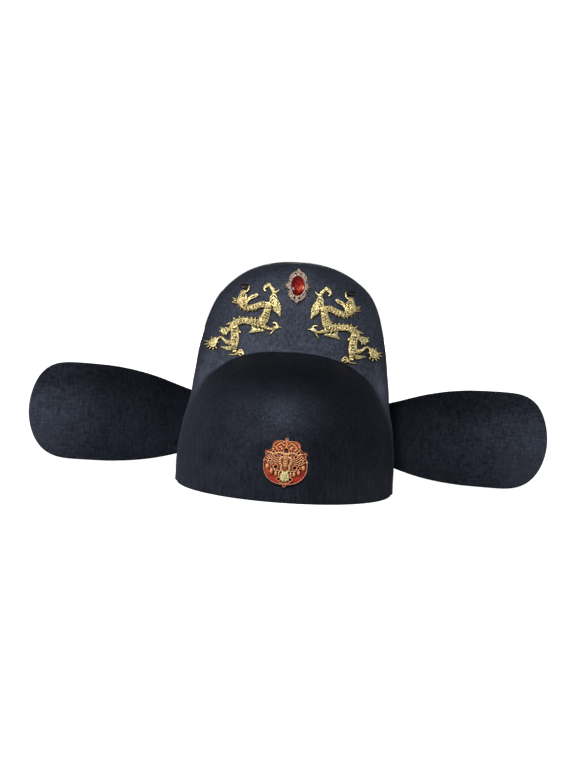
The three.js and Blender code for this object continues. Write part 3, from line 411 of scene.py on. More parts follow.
def build_crown():
    turns, rows = ((288, 190))
    outer = crown_lines(turns, rows, 640)
    normal = crown_normal(outer)
    normal[:, 0] = (0, 0, 1)
    lift = unevenness(outer) * smooth(0, 14, outer[..., 2]) * (1 - 0.75 * smooth(140, 168, outer[..., 2]))
    # the top sits a little fuller on the wearer's left than on the right, except under the castings
    fuller = sum(gain * smooth(lo, hi, outer[..., 0]) for lo, hi, gain in TOP_FULLNESS)
    lift += fuller * smooth(120, 165, outer[..., 2]) * smooth(-0.62, -0.2, normal[..., 1])
    rim_n = normal[:, -1].copy()
    rim_n[:, 2] = 0
    rim_n /= np.linalg.norm(rim_n, axis=1, keepdims=True)
    # inner surface: a coarser set of the same rows, offset by the wall
    keep = np.unique(np.concatenate([np.arange(0, rows + 1, 3), [rows]]))
    inner = outer[:, keep] - normal[:, keep] * WALL
    low = inner[..., 2] < 0.9
    inner[..., 2] = np.where(low, 0.9, inner[..., 2])
    inner[:, -1] = outer[:, -1] - rim_n * WALL
    inner[:, -1, 2] = 0.9
    outer = outer + normal * lift[..., None]
    # lower edge: the felt's cut edge, slightly rounded
    corner = outer[:, -1].copy()
    r = 0.75
    # rows that would lie in the rounded part are raised to its start
    outer[:, -1] = corner
    outer[:, -1, 2] = r
    outer[:, :-1, 2] = np.maximum(outer[:, :-1, 2], r + 0.02 * np.arange(rows, 0, -1))
    edge = []
    for k in range(1, 5):
        a = k / 4 * math.pi / 2
        p = corner - rim_n * (r - r * math.cos(a))
        p[:, 2] = r - r * math.sin(a)
        edge.append(p)
    for k in range(0, 4):
        a = k / 4 * math.pi / 2
        p = corner - rim_n * (WALL - r + r * math.sin(a))
        p[:, 2] = r - r * math.cos(a)
        edge.append(p)
    grid = np.concatenate([outer, np.stack(edge, 1), inner[:, ::-1]], 1)  # (turns, n, 3)
    n = grid.shape[1]
    points = [grid[0, 0], grid[0, -1]]
    body = grid[:, 1:-1].reshape(-1, 3)
    k = n - 2
    idx = 2 + np.arange(turns * k).reshape(turns, k)
    nxt = np.roll(idx, -1, 0)
    quads = np.stack([idx[:, :-1], idx[:, 1:], nxt[:, 1:], nxt[:, :-1]], -1).reshape(-1, 4)
    tris = np.concatenate(
        [
            np.stack([np.zeros(turns, int), idx[:, 0], nxt[:, 0]], -1),
            np.stack([np.ones(turns, int), nxt[:, -1], idx[:, -1]], -1),
        ]
    )
    split = np.concatenate([quads[:, [0, 1, 2]], quads[:, [0, 2, 3]]])
    return make("felt_crown", np.concatenate([points, body]), np.concatenate([split, tris]), ["crown"])


# ---------------------------------------------------------------- wings
def wing_at(k, x):
    return pchip(WING_SECTIONS[:, 0], WING_SECTIONS[:, k], x)


def tip(x, power):
    t = np.clip((x - TIP_START) / (TIP_END - TIP_START), 0, 1)
    return np.maximum(0, 1 - t**power) ** TIP_POWER


def wing_surface(x, z):
    t = np.clip((z - wing_at(2, x)) / 39.2, -1, 1)
    paddle = wing_at(1, x) - WING_BULGE * smooth(50, 120, x) * (1 - t * t)
    neck_zone = x < NECK_END
    neck = np.array(paddle)
    if neck_zone.any():
        neck[neck_zone] = on_rear(x[neck_zone], z[neck_zone])[:, 1] + GAP + KEEPER_WALL + KEEPER_SLOT / 2
    return neck + (paddle - neck) * smooth(NECK_START, NECK_END, x)


def build_wing(name, side):
    body_steps, tip_steps, end_steps = 96, 44, 8
    first = WING_SECTIONS[0, 0]
    xb = np.linspace(first, TIP_START, body_steps + 1)
    xt = TIP_START + (TIP_END - TIP_START) * np.sin(np.linspace(0, math.pi / 2, tip_steps + 1)[1:])
    x = np.concatenate([xb, xt])
    low = np.stack([x, wing_at(2, x) - wing_at(3, x) * tip(x, TIP_LOW)], -1)
    high = np.stack([x, wing_at(2, x) + wing_at(3, x) * tip(x, TIP_TOP)], -1)
    end = np.stack([np.full(end_steps - 1, first), np.linspace(high[0, 1], low[0, 1], end_steps + 1)[1:-1]], -1)
    outline = np.concatenate([low, high[::-1][1:], end])
    # the neck's square corners get a small radius
    spine_x = np.clip(outline[:, 0], first + 7.0, TIP_END - 40.0)
    spine = np.stack([spine_x, wing_at(2, spine_x)], -1)
    reach = np.linalg.norm(outline - spine, axis=1)
    half = WING_THICK / 2
    # rows from the edge inwards: distance from the edge and half thickness there, so that the edge is round
    a = np.linspace(0, math.pi / 2, 7)
    edge_d = (1 - np.cos(a)) * 1.35
    edge_h = np.sin(a) * half
    inner_f = np.array([0.02, 0.06, 0.12, 0.2, 0.3, 0.42, 0.55, 0.68, 0.8, 0.9, 1.0])
    rows, thick = [], []
    for d, h in zip(edge_d, edge_h):
        rows.append(outline + (spine - outline) * (d / reach)[:, None])
        thick.append(np.full(len(outline), h))
    for f in inner_f:
        dist = edge_d[-1] + (reach - edge_d[-1]) * f
        rows.append(outline + (spine - outline) * (dist / reach)[:, None])
        thick.append(np.full(len(outline), half))
    rows, thick = np.stack(rows), np.stack(thick)
    x, z = rows[..., 0].ravel(), rows[..., 1].ravel()
    e = 0.3
    y = wing_surface(x, z)
    nx = (wing_surface(x + e, z) - wing_surface(x - e, z)) / (2 * e)
    nz = (wing_surface(x, z + e) - wing_surface(x, z - e)) / (2 * e)
    n = np.stack([nx, -np.ones_like(nx), nz], -1)
    n /= np.linalg.norm(n, axis=1, keepdims=True)
    mid = np.stack([x, y, z], -1)
    out_of_keeper = smooth(24, 60, x)
    mid = mid + n * (unevenness(mid * 0.8 + 300 * side) * 0.5 * out_of_keeper)[:, None]
    h = thick.ravel()[:, None]
    m = len(outline)
    r = rows.shape[0]
    front, back = mid + n * h, mid - n * h
    points = np.concatenate([front, back[m:]])  # the edge row is shared
    fi = np.arange(r * m).reshape(r, m)
    bi = np.concatenate([fi[:1], r * m + np.arange((r - 1) * m).reshape(r - 1, m)])
    faces = []
    for grid, turn in ((fi, False), (bi, True)):
        nxt = np.roll(grid, -1, 1)
        q = np.stack([grid[:-1], nxt[:-1], nxt[1:], grid[1:]], -1).reshape(-1, 4)
        faces.append(q[:, ::-1] if turn else q)
    faces = np.concatenate(faces)
    faces = np.concatenate([faces[:, [0, 1, 2]], faces[:, [0, 2, 3]]])
    if side < 0:
        points = points * np.array([-1, 1, 1])
    obj = make(name, points, faces, ["wing_right" if side > 0 else "wing_left"], flip=side < 0)
    weld(obj, 2e-5)
    return obj


def weld(obj, distance):
    import bmesh

    bm = bmesh.new()
    bm.from_mesh(obj.data)
    bmesh.ops.remove_doubles(bm, verts=bm.verts, dist=distance)
    bmesh.ops.dissolve_degenerate(bm, edges=bm.edges, dist=1e-7)
    bm.to_mesh(obj.data)
    bm.free()
    obj.data.polygons.foreach_set("use_smooth", np.full(len(obj.data.polygons), True))


# ---------------------------------------------------------------- the keeper on the rear
def build_keeper():
    def ring(high, lo, hi, radius, n=7):
        """Rounded rectangle, v up and h away from the felt."""
        pts = []
        for cv, ch, start in (
            (high - radius, lo + radius, -90),
            (high - radius, hi - radius, 0),
            (-high + radius, hi - radius, 90),
            (-high + radius, lo + radius, 180),
        ):
            for k in range(n):
                a = math.radians(start + 90 * k / (n - 1))
                pts.append((cv + radius * math.cos(a), ch + radius * math.sin(a)))
        return np.array(pts)

    deep = 2 * KEEPER_WALL + KEEPER_SLOT
    outer = ring(KEEPER_HIGH, GAP, GAP + deep, 1.6)
    inner = ring(KEEPER_HIGH - KEEPER_WALL, GAP + KEEPER_WALL, GAP + deep - KEEPER_WALL, 1.2)
    xs = np.concatenate([[-1.0, -0.985, -0.95], np.linspace(-0.9, 0.9, 19), [0.95, 0.985, 1.0]]) * KEEPER_HALF
    m = len(outer)
    rings = []
    for x in xs:
        t = abs(x) / KEEPER_HALF
        tuck = 0.35 * smooth(0.93, 1.0, t)  # the cut ends of the sleeve are a little rounded
        centre = np.array([0, GAP + deep / 2])
        o = outer + (centre - outer) / np.linalg.norm(centre - outer, axis=1)[:, None] * tuck
        i = inner - (centre - inner) / np.linalg.norm(centre - inner, axis=1)[:, None] * tuck * 0.5
        pts = np.concatenate([o, i])
        p = on_rear(np.full(len(pts), x), KEEPER_Z + pts[:, 0])
        p[:, 1] += pts[:, 1]
        rings.append(p)
    g = np.stack(rings)
    idx = np.arange(g.shape[0] * 2 * m).reshape(g.shape[0], 2, m)
    faces = []
    for k, turn in ((0, False), (1, True)):
        a = idx[:, k]
        b = np.roll(a, -1, 1)
        q = np.stack([a[:-1], b[:-1], b[1:], a[1:]], -1).reshape(-1, 4)
        faces.append(q[:, ::-1] if turn else q)
    for e, turn in ((0, True), (-1, False)):
        o, i = idx[e, 0], idx[e, 1]
        q = np.stack([o, np.roll(o, -1), np.roll(i, -1), i], -1)
        faces.append(q[:, ::-1] if turn else q)
    faces = np.concatenate(faces)
    faces = np.concatenate([faces[:, [0, 1, 2]], faces[:, [0, 2, 3]]])
    return make("felt_keeper", g.reshape(-1, 3), faces, ["wing_keeper"])


# ---------------------------------------------------------------- relief over an outline
def flat_mesh(field, x0, x1, z0, z1, step):
    """Triangles that fill where a field is negative, cut smoothly along its zero line. Returns corners, triangles, border edges."""
    nx, nz = int(round((x1 - x0) / step)) + 1, int(round((z1 - z0) / step)) + 1
    gx, gz = np.meshgrid(x0 + np.arange(nx) * step, z0 + np.arange(nz) * step, indexing="ij")
    v = field(gx, gz)
    v = np.where(np.abs(v) < step * 0.04, step * 0.04 * np.where(v < 0, -1, 1), v)
    pts = np.stack([gx.ravel(), gz.ravel()], -1)
    val = v.ravel()
    ids = np.arange(nx * nz).reshape(nx, nz)
    a, b, c, d = ids[:-1, :-1].ravel(), ids[1:, :-1].ravel(), ids[1:, 1:].ravel(), ids[:-1, 1:].ravel()
    tri = np.concatenate([np.stack([a, b, c], -1), np.stack([a, c, d], -1)])
    inside = val[tri] < 0
    count = inside.sum(1)
    full = tri[count == 3]
    corners, faces, border, made = list(), [full], [], {}

    def cut(i, j):
        key = (i, j) if i < j else (j, i)
        if key not in made:
            t = val[key[0]] / (val[key[0]] - val[key[1]])
            made[key] = len(pts) + len(corners)
            corners.append(pts[key[0]] * (1 - t) + pts[key[1]] * t)
        return made[key]

    extra = []
    for t3, k3 in ((tri[count == 1], 1), (tri[count == 2], 2)):
        ins = val[t3] < 0
        for row, flag in zip(t3.tolist(), ins.tolist()):
            if k3 == 1:
                k = flag.index(True)
                p, q, r = row[k], row[(k + 1) % 3], row[(k + 2) % 3]
                m, n = cut(p, q), cut(p, r)
                extra.append((p, m, n))
                border.append((m, n))
            else:
                k = flag.index(False)
                p, q, r = row[k], row[(k + 1) % 3], row[(k + 2) % 3]
                m, n = cut(p, q), cut(p, r)
                extra.append((m, q, r))
                extra.append((m, r, n))
                border.append((n, m))
    allp = np.concatenate([pts, np.array(corners).reshape(-1, 2)])
    allt = np.concatenate([full, np.array(extra, int).reshape(-1, 3)])
    used, inv = np.unique(allt, return_inverse=True)
    remap = np.full(len(allp), -1)
    remap[used] = np.arange(len(used))
    return allp[used], inv.reshape(-1, 3), remap[np.array(border, int)]


def relief(name, flat, heights, base, place, replaces, mirror=False, values=None):
    """A closed casting: a face at each corner's height over its back at the base height."""
    pts, tri, border = flat
    n = len(pts)
    face, back = place(pts, heights), place(pts, np.full(n, base))
    points = np.concatenate([face, back])
    walls = np.concatenate(
        [
            np.stack([border[:, 0], border[:, 0] + n, border[:, 1] + n], -1),
            np.stack([border[:, 0], border[:, 1] + n, border[:, 1]], -1),
        ]
    )
    faces = np.concatenate([tri, tri[:, ::-1] + n, walls])
    if mirror:
        points = points * np.array([-1, 1, 1])
        faces = faces[:, ::-1]
    obj = make(name, points, faces, replaces)
    for key, v in (values or {}).items():
        att = obj.data.attributes.new(key, "FLOAT", "POINT")
        att.data.foreach_set("value", np.concatenate([v, np.zeros(n)]).astype(np.float32))
    return obj


def stroke_frames(limb, steps=8):
    """Points, half-widths and running length of one bent stroke."""
    x0, z0, xm, zm, x1, z1, r0, r1 = limb
    cx, cz = 2 * xm - (x0 + x1) / 2, 2 * zm - (z0 + z1) / 2
    t = np.linspace(0, 1, steps + 1)
    p = np.stack(
        [(1 - t) ** 2 * x0 + 2 * t * (1 - t) * cx + t * t * x1, (1 - t) ** 2 * z0 + 2 * t * (1 - t) * cz + t * t * z1], -1
    )
    return p, r0 + (r1 - r0) * t


def stroke_at(limb, x, z):
    """For each point: distance to the stroke's edge, length along it, signed offset across it and half-width there."""
    p, r = stroke_frames(limb)
    best = np.full(x.shape, 1e9)
    along, across, width = np.zeros(x.shape), np.zeros(x.shape), np.ones(x.shape)
    run = 0.0
    for i in range(len(p) - 1):
        e = p[i + 1] - p[i]
        length = max(np.hypot(*e), 1e-6)
        t = np.clip(((x - p[i, 0]) * e[0] + (z - p[i, 1]) * e[1]) / length**2, 0, 1)
        ox, oz = x - p[i, 0] - t * e[0], z - p[i, 1] - t * e[1]
        dist = np.hypot(ox, oz)
        rr = r[i] + (r[i + 1] - r[i]) * t
        d = dist - rr
        near = d < best
        best = np.where(near, d, best)
        along = np.where(near, run + t * length, along)
        across = np.where(near, dist * np.sign(e[0] * oz - e[1] * ox), across)
        width = np.where(near, rr, width)
        run += length
    return best, along, across, width


def scales(along, across, pitch, size):
    """Rows of overlapping rounded scales, each one rising to its free rim."""
    a, b = along / pitch, across / pitch
    row = np.floor(a)
    u = a - row
    w = b + 0.5 * (row % 2)
    w = w - np.round(w)
    rim = 0.3 + 0.62 * np.sqrt(np.clip(1 - (2 * w) ** 2, 0, 1))
    gap = np.exp(-(((u - rim) / 0.13) ** 2))
    return size * (np.where(u < rim, 0.3 + 0.7 * u / rim, 0.35) * (1 - 0.9 * gap))


def limb_box(limb, x, z, reach):
    """Which points lie near enough to a stroke for it to matter."""
    x0, z0, xm, zm, x1, z1, r0, r1 = limb
    cx, cz = 2 * xm - (x0 + x1) / 2, 2 * zm - (z0 + z1) / 2
    r = max(r0, r1) + reach
    return (
        (x > min(x0, x1, cx) - r) & (x < max(x0, x1, cx) + r) & (z > min(z0, z1, cz) - r) & (z < max(z0, z1, cz) + r)
    )


def dragon_field(x, z):
    d = np.full(x.shape, 4.0)
    for limb in DRAGON_LIMBS:
        near = limb_box(limb[2:], x, z, 1.5)
        d[near] = np.minimum(d[near], stroke_at(limb[2:], x[near], z[near])[0])
    for hx, hz, hr in DRAGON_HOLES:
        d = np.maximum(d, hr - np.hypot(x - hx, z - hz))
    return d


def mottle(along, across):
    """Uneven chasing between the scales."""
    return 0.3 * np.cos(2 * math.pi * along / 3.1 + 1.7 * np.sin(1.3 * across)) * np.cos(2 * math.pi * across / 2.6 + 1.2 * np.sin(along))


def limb_relief(kind, e, along, across, width):
    """Height of one limb over the plate: its rounded section and what is chased into it."""
    q = np.clip(np.abs(across) / np.maximum(width, 1e-3), 0, 1)
    dome = np.sqrt(np.clip(1 - q * q, 0, 1))
    size = np.clip(width / 3.0, 0.25, 1.2)
    if kind == "body":
        return 0.6 + 1.35 * dome * size + (scales(along, across, 2.15, 0.62) + mottle(along, across)) * dome**0.5
    if kind == "belly":
        bands = 0.32 * (1 + np.cos(2 * math.pi * along / 1.9))
        return 0.65 + 1.35 * dome * size + np.where(across > 0.9, bands, scales(along, across, 2.15, 0.62) + mottle(along, across)) * dome**0.5
    if kind == "head":
        lumps = 0.22 * np.cos(2 * math.pi * along / 2.3) * np.cos(2 * math.pi * across / 2.0)
        return 0.9 + 1.3 * dome * size + 0.85 * lumps * dome
    if kind == "hair":
        return 0.65 + 0.7 * dome * size + 0.26 * np.cos(2 * math.pi * across / 1.25)
    if kind in ("flame", "fin"):
        ribs = np.cos(2 * math.pi * (along - 1.05 * np.abs(across)) / 2.7)
        vein = np.exp(-((across / 0.3) ** 2))
        return 0.6 + 0.95 * dome * size + 0.25 * ribs * np.clip(width / 2.0, 0, 1) * (1 - vein) * dome**0.5 + 0.25 * vein * dome
    if kind == "thin":
        return 0.5 + 0.7 * dome
    return 0.5 + 1.05 * dome * np.sqrt(size)


def dragon_heights(x, z, d):
    """Height of the relief and how much of it is leaf."""
    h = np.full(x.shape, 0.35)
    leaf = np.zeros(x.shape)
    for limb in DRAGON_LIMBS:
        near = limb_box(limb[2:], x, z, 0.1)
        e, along, across, width = stroke_at(limb[2:], x[near], z[near])
        t = np.where(e < 0, limb_relief(limb[1], e, along, across, width), 0)
        over = t > h[near]
        h[near] = np.where(over, t, h[near])
        leaf[near] = np.where(over, LEAF.get(limb[1], 0.0), leaf[near])
    for row in DRAGON_GROOVES:
        e = stroke_at(row, x, z)[0]
        h = h - 0.6 * np.clip(-e / 0.28, 0, 1)
    ex, ez, er = DRAGON_EYE  # a bead in a ring
    r = np.hypot(x - ex, z - ez)
    h = h + 0.35 * np.clip(1 - (r / er) ** 2, 0, 1) - 0.75 * np.exp(-(((r - er * 1.15) / 0.26) ** 2))
    edge = np.clip(-d / 0.55, 0, 1)
    round_off = np.sqrt(np.clip(1 - (1 - edge) ** 2, 0, 1))
    return GAP + 0.3 + (np.maximum(h, 0.32) - 0.3) * (0.25 + 0.75 * round_off), leaf


def blurred(grid, radius):
    """Mean over a square window, three times over, along both ways of a grid."""
    for _ in range(3):
        for axis in (0, 1):
            pad = [(0, 0), (0, 0)]
            pad[axis] = (radius + 1, radius)
            c = np.cumsum(np.pad(grid, pad, mode="edge"), axis=axis)
            n = grid.shape[axis]
            hi, lo = [slice(None)] * 2, [slice(None)] * 2
            hi[axis], lo[axis] = slice(2 * radius + 1, 2 * radius + 1 + n), slice(0, n)
            grid = (c[tuple(hi)] - c[tuple(lo)]) / (2 * radius + 1)
    return grid


def standing_out(heights, pts, box, radius):
    """How far each corner stands over the mean level round it, mm: under 0 in a hollow."""
    step = 0.2
    x0, x1, z0, z1 = box
    nx, nz = int((x1 - x0) / step) + 1, int((z1 - z0) / step) + 1
    gx, gz = np.meshgrid(x0 + np.arange(nx) * step, z0 + np.arange(nz) * step, indexing="ij")
    g = heights(gx.ravel(), gz.ravel()).reshape(nx, nz)
    g = g - blurred(g, max(1, int(round(radius / step))))
    fx, fz = (pts[:, 0] - x0) / step, (pts[:, 1] - z0) / step
    i, j = np.clip(fx.astype(int), 0, nx - 2), np.clip(fz.astype(int), 0, nz - 2)
    u, v = fx - i, fz - j
    return (g[i, j] * (1 - u) + g[i + 1, j] * u) * (1 - v) + (g[i, j + 1] * (1 - u) + g[i + 1, j + 1] * u) * v


def build_dragons():
    step = 0.225
    box = (-36, 29, -31, 32)
    flat = flat_mesh(lambda x, z: dragon_field(x, z) - SHADE_BORDER, *box, step)
    pts = flat[0]
    d = dragon_field(pts[:, 0], pts[:, 1]) - SHADE_BORDER
    h, leaf = dragon_heights(pts[:, 0], pts[:, 1], d)

    def level(x, z):
        return dragon_heights(x, z, dragon_field(x, z) - SHADE_BORDER)[0]

    proud = standing_out(level, pts, box, 0.8)
    # lower in the hollows, where the patina lies, and falling to near nothing along the border as a painted shade
    depth = np.clip(0.5 + 2.1 * proud, 0, 1) * (0.08 + 0.92 * np.clip((-d - 0.08) / 0.5, 0, 1))
    depth, leaf = depth * np.where(leaf < 0, 0.3, 1), np.maximum(leaf, 0)

    def place(p, height):
        # the feet reach the valley: there they stand off the raised back by at most 2 mm and don't run over the dome
        x, z = p[:, 0] - DRAGON_X, p[:, 1] + DRAGON_Z
        base = leave_y(x, z, 44.0, -1, raised_back)
        out = crown_normal(base, raised_back)
        base[:, 1] -= np.clip(base[:, 1] - on_raised_back(x, z)[:, 1], 0, 2.0)
        return base + out * np.asarray(height)[:, None]

    values = {"depth": depth, "leaf": leaf}
    return [
        relief("cast_dragon_left", flat, h, GAP, place, ["dragon_left"], values=values),
        relief("cast_dragon_right", flat, h, GAP, place, ["dragon_right"], mirror=True, values=values),
    ]


# ---------------------------------------------------------------- the set stone
jewel_foot = on_raised_back(np.array([JEWEL_X]), np.array([JEWEL_Z]))[0]
jewel_out = crown_normal(jewel_foot)
jewel_out[0] = 0
jewel_out /= np.linalg.norm(jewel_out)
jewel_up = np.cross(jewel_out, [1.0, 0, 0])
jewel_up /= np.linalg.norm(jewel_up)
LEAN = jewel_up[2]


def jewel_point(p, h):
    u, v = p[:, 0], p[:, 1]
    h = np.asarray(h)[:, None]
    flat = jewel_foot + u[:, None] * np.array([1.0, 0, 0]) + (v / LEAN)[:, None] * jewel_up + h * jewel_out
    base = on_raised_back(JEWEL_X + u, JEWEL_Z + v)
    bent = base + crown_normal(base) * h
    t = smooth(7.5, 14, np.hypot(u * 1.3, v))[:, None]
    return flat * (1 - t) + bent * t


# quarter of the setting, mirrored both ways: lobes, strokes to the tips and side points, pierced holes, beads
SETTING_LOBES = [(0, 8.6, 3.5), (2.5, 8.3, 2.9), (4.2, 6.3, 3.0), (5.3, 2.9, 2.8), (5.7, 0.0, 2.3)]
SETTING_POINTS = [
    (0, 13.3, 0, 11.8, 0, 9.8, 0.3, 2.5),
    (7.0, 1.0, 8.4, 1.3, 9.9, 2.2, 0.7, 0.2),
    (7.0, 0.3, 8.6, 0.3, 10.1, 0.4, 0.7, 0.2),
]
SETTING_HOLES = [(2.0, 9.2, 0.68), (6.95, 3.3, 0.6)]
SETTING_BEADS = [
    (0, 12.1, 0.75),
    (2.6, 10.4, 0.7),
    (4.6, 8.3, 0.75),
    (6.2, 6.2, 0.7),
    (7.2, 4.0, 0.6),
    (7.0, 1.5, 0.65),
    (0, 9.6, 0.85),
]


def four_ways(rows):
    return sorted({(a * x, b * z, r) for x, z, r in rows for a in (1, -1) for b in (1, -1)})


def setting_field(x, z):
    ax, az = np.abs(x), np.abs(z)
    d = (np.hypot(x / 6.4, z / 9.0) - 1) * 6.4
    for lx, lz, r in SETTING_LOBES:
        d = np.minimum(d, np.hypot(ax - lx, az - lz) - r)
    for row in SETTING_POINTS:
        d = np.minimum(d, stroke_at(row, ax, az)[0])
    for lx, lz, r in SETTING_HOLES:
        d = np.maximum(d, r - np.hypot(ax - lx, az - lz))
    return d


def build_setting():
    flat = flat_mesh(setting_field, -11, 11, -15, 15, 0.16)
    x, z = flat[0][:, 0], flat[0][:, 1]
    d = setting_field(x, z)
    w, l = STONE_HALF_W + GAP, (STONE_HALF_L + GAP) * LEAN
    q = np.hypot(x / w, z / l)  # 1 on the stone's seat
    off = (q - 1) * np.minimum(w, l) * 1.15
    angle = np.arctan2(z / l, x / w)
    # flange: a hollow between a raised rim and the bezel, with grains and beads on it
    rim = np.exp(-(((-d) - 0.6) / 0.36) ** 2)
    grains = np.cos(2 * math.pi * x / 1.5 + 1.3 * np.sin(z * 1.9)) * np.cos(2 * math.pi * z / 1.4 + 1.1 * np.sin(x * 2.3))
    h = 1.0 + 0.6 * rim + 0.22 * grains
    for bx, bz, r in four_ways(SETTING_BEADS):
        rr = np.hypot(x - bx, z - bz)
        h = np.maximum(h, 1.0 + 1.0 * np.sqrt(np.clip(1 - (rr / r) ** 2, 0, 1)))
    for lx, lz, r in four_ways(SETTING_HOLES):
        rr = np.hypot(x - lx, z - lz)
        h = h + 0.35 * np.exp(-(((rr - r - 0.35) / 0.25) ** 2))
    # bezel: a wall round the stone, cut into small claws
    claws = 0.5 + 0.5 * np.cos(angle * 20)
    wall = smooth(-0.05, 0.12, off) * (1 - smooth(0.75, 1.05, off))
    h = np.where(wall > 0, h * (1 - wall) + wall * (2.35 + 0.5 * claws), h)
    h = np.where(off < 0, 1.0, h)
    edge = np.clip(-d / 0.35, 0, 1)
    round_off = np.sqrt(np.clip(1 - (1 - edge) ** 2, 0, 1))
    h = GAP + 0.25 + (h - 0.25) * (0.3 + 0.7 * round_off)
    return relief(
        "stone_setting", flat, h, GAP, jewel_point, ["jewel_setting"], values={"depth": np.clip((h - GAP) / 2.6, 0, 1)}
    )


def build_stone():
    """An oval cut: table, star, kite and girdle facets, flat-shaded, over a faceted back."""
    n = 12
    rings = [  # scale, height share, turn
        (0.30, 0.00, 0.5),
        (0.80, 0.10, 0.0),
        (1.00, 0.36, 0.5),
        (1.00, 0.42, 0.5),
        (0.86, 0.68, 0.0),
        (0.70, 0.90, 0.5),
        (0.50, 1.00, 0.0),
    ]
    pts = []
    for s, h, turn in rings:
        for i in range(n):
            a = (i + turn) / n * 2 * math.pi
            pts.append(
                jewel_foot
                + STONE_HALF_W * s * math.cos(a) * np.array([1.0, 0, 0])
                + STONE_HALF_L * s * math.sin(a) * jewel_up
                + (STONE_LOW + STONE_THICK * h) * jewel_out
            )
    faces = []
    for r in range(len(rings) - 1):
        t0, t1 = rings[r][2], rings[r + 1][2]
        for i in range(n):
            j = (i + 1) % n
            a, b, c, d = r * n + i, r * n + j, (r + 1) * n + i, (r + 1) * n + j
            if t0 == t1:
                faces += [(a, b, d), (a, d, c)]
            elif t1 > t0:
                faces += [(a, b, c), (b, d, c)]
            else:
                faces += [(a, b, d), (a, d, c)]
    top = (len(rings) - 1) * n
    for i in range(1, n - 1):
        faces += [(top, top + i, top + i + 1), (0, i + 1, i)]
    obj = make("cut_stone", np.array(pts), np.array(faces), ["red_stone"], smooth_faces=False)
    # how much light each facet throws back: most beside the middle on one side, least on the other
    centre = np.array([[v.center.x, v.center.z] for v in obj.data.polygons]) * 1000
    mid = (centre.max(0) + centre.min(0)) / 2
    u, w = (centre[:, 0] - mid[0]) / STONE_HALF_W, (centre[:, 1] - mid[1]) / (STONE_HALF_L * LEAN)
    order = np.arange(len(u)) % 5
    glow = np.exp(-(((u - 0.42) / 0.42) ** 2) - ((w + 0.12) / 0.5) ** 2) + 0.12 * (order - 2) * (u > -0.2)
    att = obj.data.attributes.new("glow", "FLOAT", "FACE")
    att.data.foreach_set("value", np.clip(glow, 0, 1).astype(np.float32))
    return obj


# ---------------------------------------------------------------- the brooch
MEDAL_DISCS = [  # outline of the right half: x, z, r
    (0, 10.8, 5.5),
    (3.6, 12.2, 3.9),
    (6.9, 12.3, 3.6),
    (7.0, 9.6, 3.6),
    (9.7, 7.9, 2.5),
    (11.8, 5.2, 3.4),
    (14.6, 6.7, 1.5),
    (15.4, 0.5, 1.5),
    (0, 16.9, 1.45),
    (0, -17.6, 1.5),
]
MEDAL_BODY = (16.7, -2.9, 14.4, 2.25)  # half-width, middle height, half-height, fullness
# ridges of the right half, mirrored: from, bend, to, half-widths, height
MEDAL_RIDGES = [
    ("crest", 0, 15.9, 0, 13.5, 0, 11.0, 1.0, 1.0, 1.1),
    ("lobe_rim", 1.4, 15.0, 5.2, 15.2, 8.6, 13.4, 0.6, 0.55, 0.85),
    ("lobe_side", 8.6, 13.2, 9.7, 11.4, 9.6, 9.2, 0.55, 0.5, 0.75),
    ("curl_out", 1.9, 12.4, 3.8, 13.8, 6.1, 12.5, 0.9, 0.75, 1.1),
    ("curl_in", 6.4, 12.2, 7.3, 10.5, 6.2, 8.9, 0.85, 0.75, 1.0),
    ("curl_end", 3.2, 9.8, 3.9, 10.8, 4.6, 11.0, 1.15, 0.95, 1.3),
    ("brow", 1.9, 6.2, 5.0, 6.9, 7.4, 6.0, 0.95, 0.8, 1.15),
    ("brow_out", 7.4, 6.3, 9.4, 8.4, 10.0, 9.4, 0.6, 0.5, 0.8),
    ("temple", 8.6, 5.4, 11.4, 6.4, 14.3, 6.6, 0.65, 0.6, 0.85),
    ("column", 0, 5.4, 0, 0.5, 0, -3.4, 2.0, 1.5, 0.85),
    ("column_side", 2.9, 3.4, 4.3, 1.0, 3.3, -1.9, 1.35, 1.0, 0.8),
    ("nose_side", 2.6, -2.6, 3.1, -4.2, 2.9, -5.7, 0.8, 0.7, 1.15),
    ("feather_a", 5.6, 2.6, 8.2, 3.6, 10.4, 5.3, 0.4, 0.38, 0.7),
    ("feather_b", 5.7, 1.2, 8.9, 2.3, 12.0, 5.0, 0.42, 0.38, 0.7),
    ("feather_c", 5.9, -0.2, 9.6, 1.0, 13.4, 4.4, 0.42, 0.38, 0.7),
    ("feather_d", 6.7, -1.3, 10.4, -0.3, 14.4, 3.2, 0.42, 0.38, 0.7),
    ("feather_e", 9.4, -1.7, 11.8, -1.2, 14.2, 0.6, 0.42, 0.38, 0.7),
    ("shoulder", 14.6, 5.2, 15.6, 3.8, 16.0, 2.2, 0.5, 0.45, 0.7),
    ("under_eye", 4.6, -6.2, 7.0, -6.5, 8.6, -5.6, 0.55, 0.45, 0.8),
    ("nostril", 1.7, -6.0, 4.2, -7.6, 4.3, -10.8, 0.55, 0.5, 0.9),
    ("chin", 4.4, -15.0, 2.4, -15.8, 0, -16.1, 0.3, 0.5, 0.5),
]
MEDAL_OVALS = [  # x, z, half-width, half-height
    (13.3, -3.8, 1.4, 2.2),
    (10.0, -7.4, 1.25, 2.2),
    (6.7, -8.8, 1.15, 2.1),
    (15.6, 0.5, 0.9, 1.25),
    (5.0, 11.0, 0.8, 0.8),
    (7.3, 6.4, 0.75, 0.7),
]
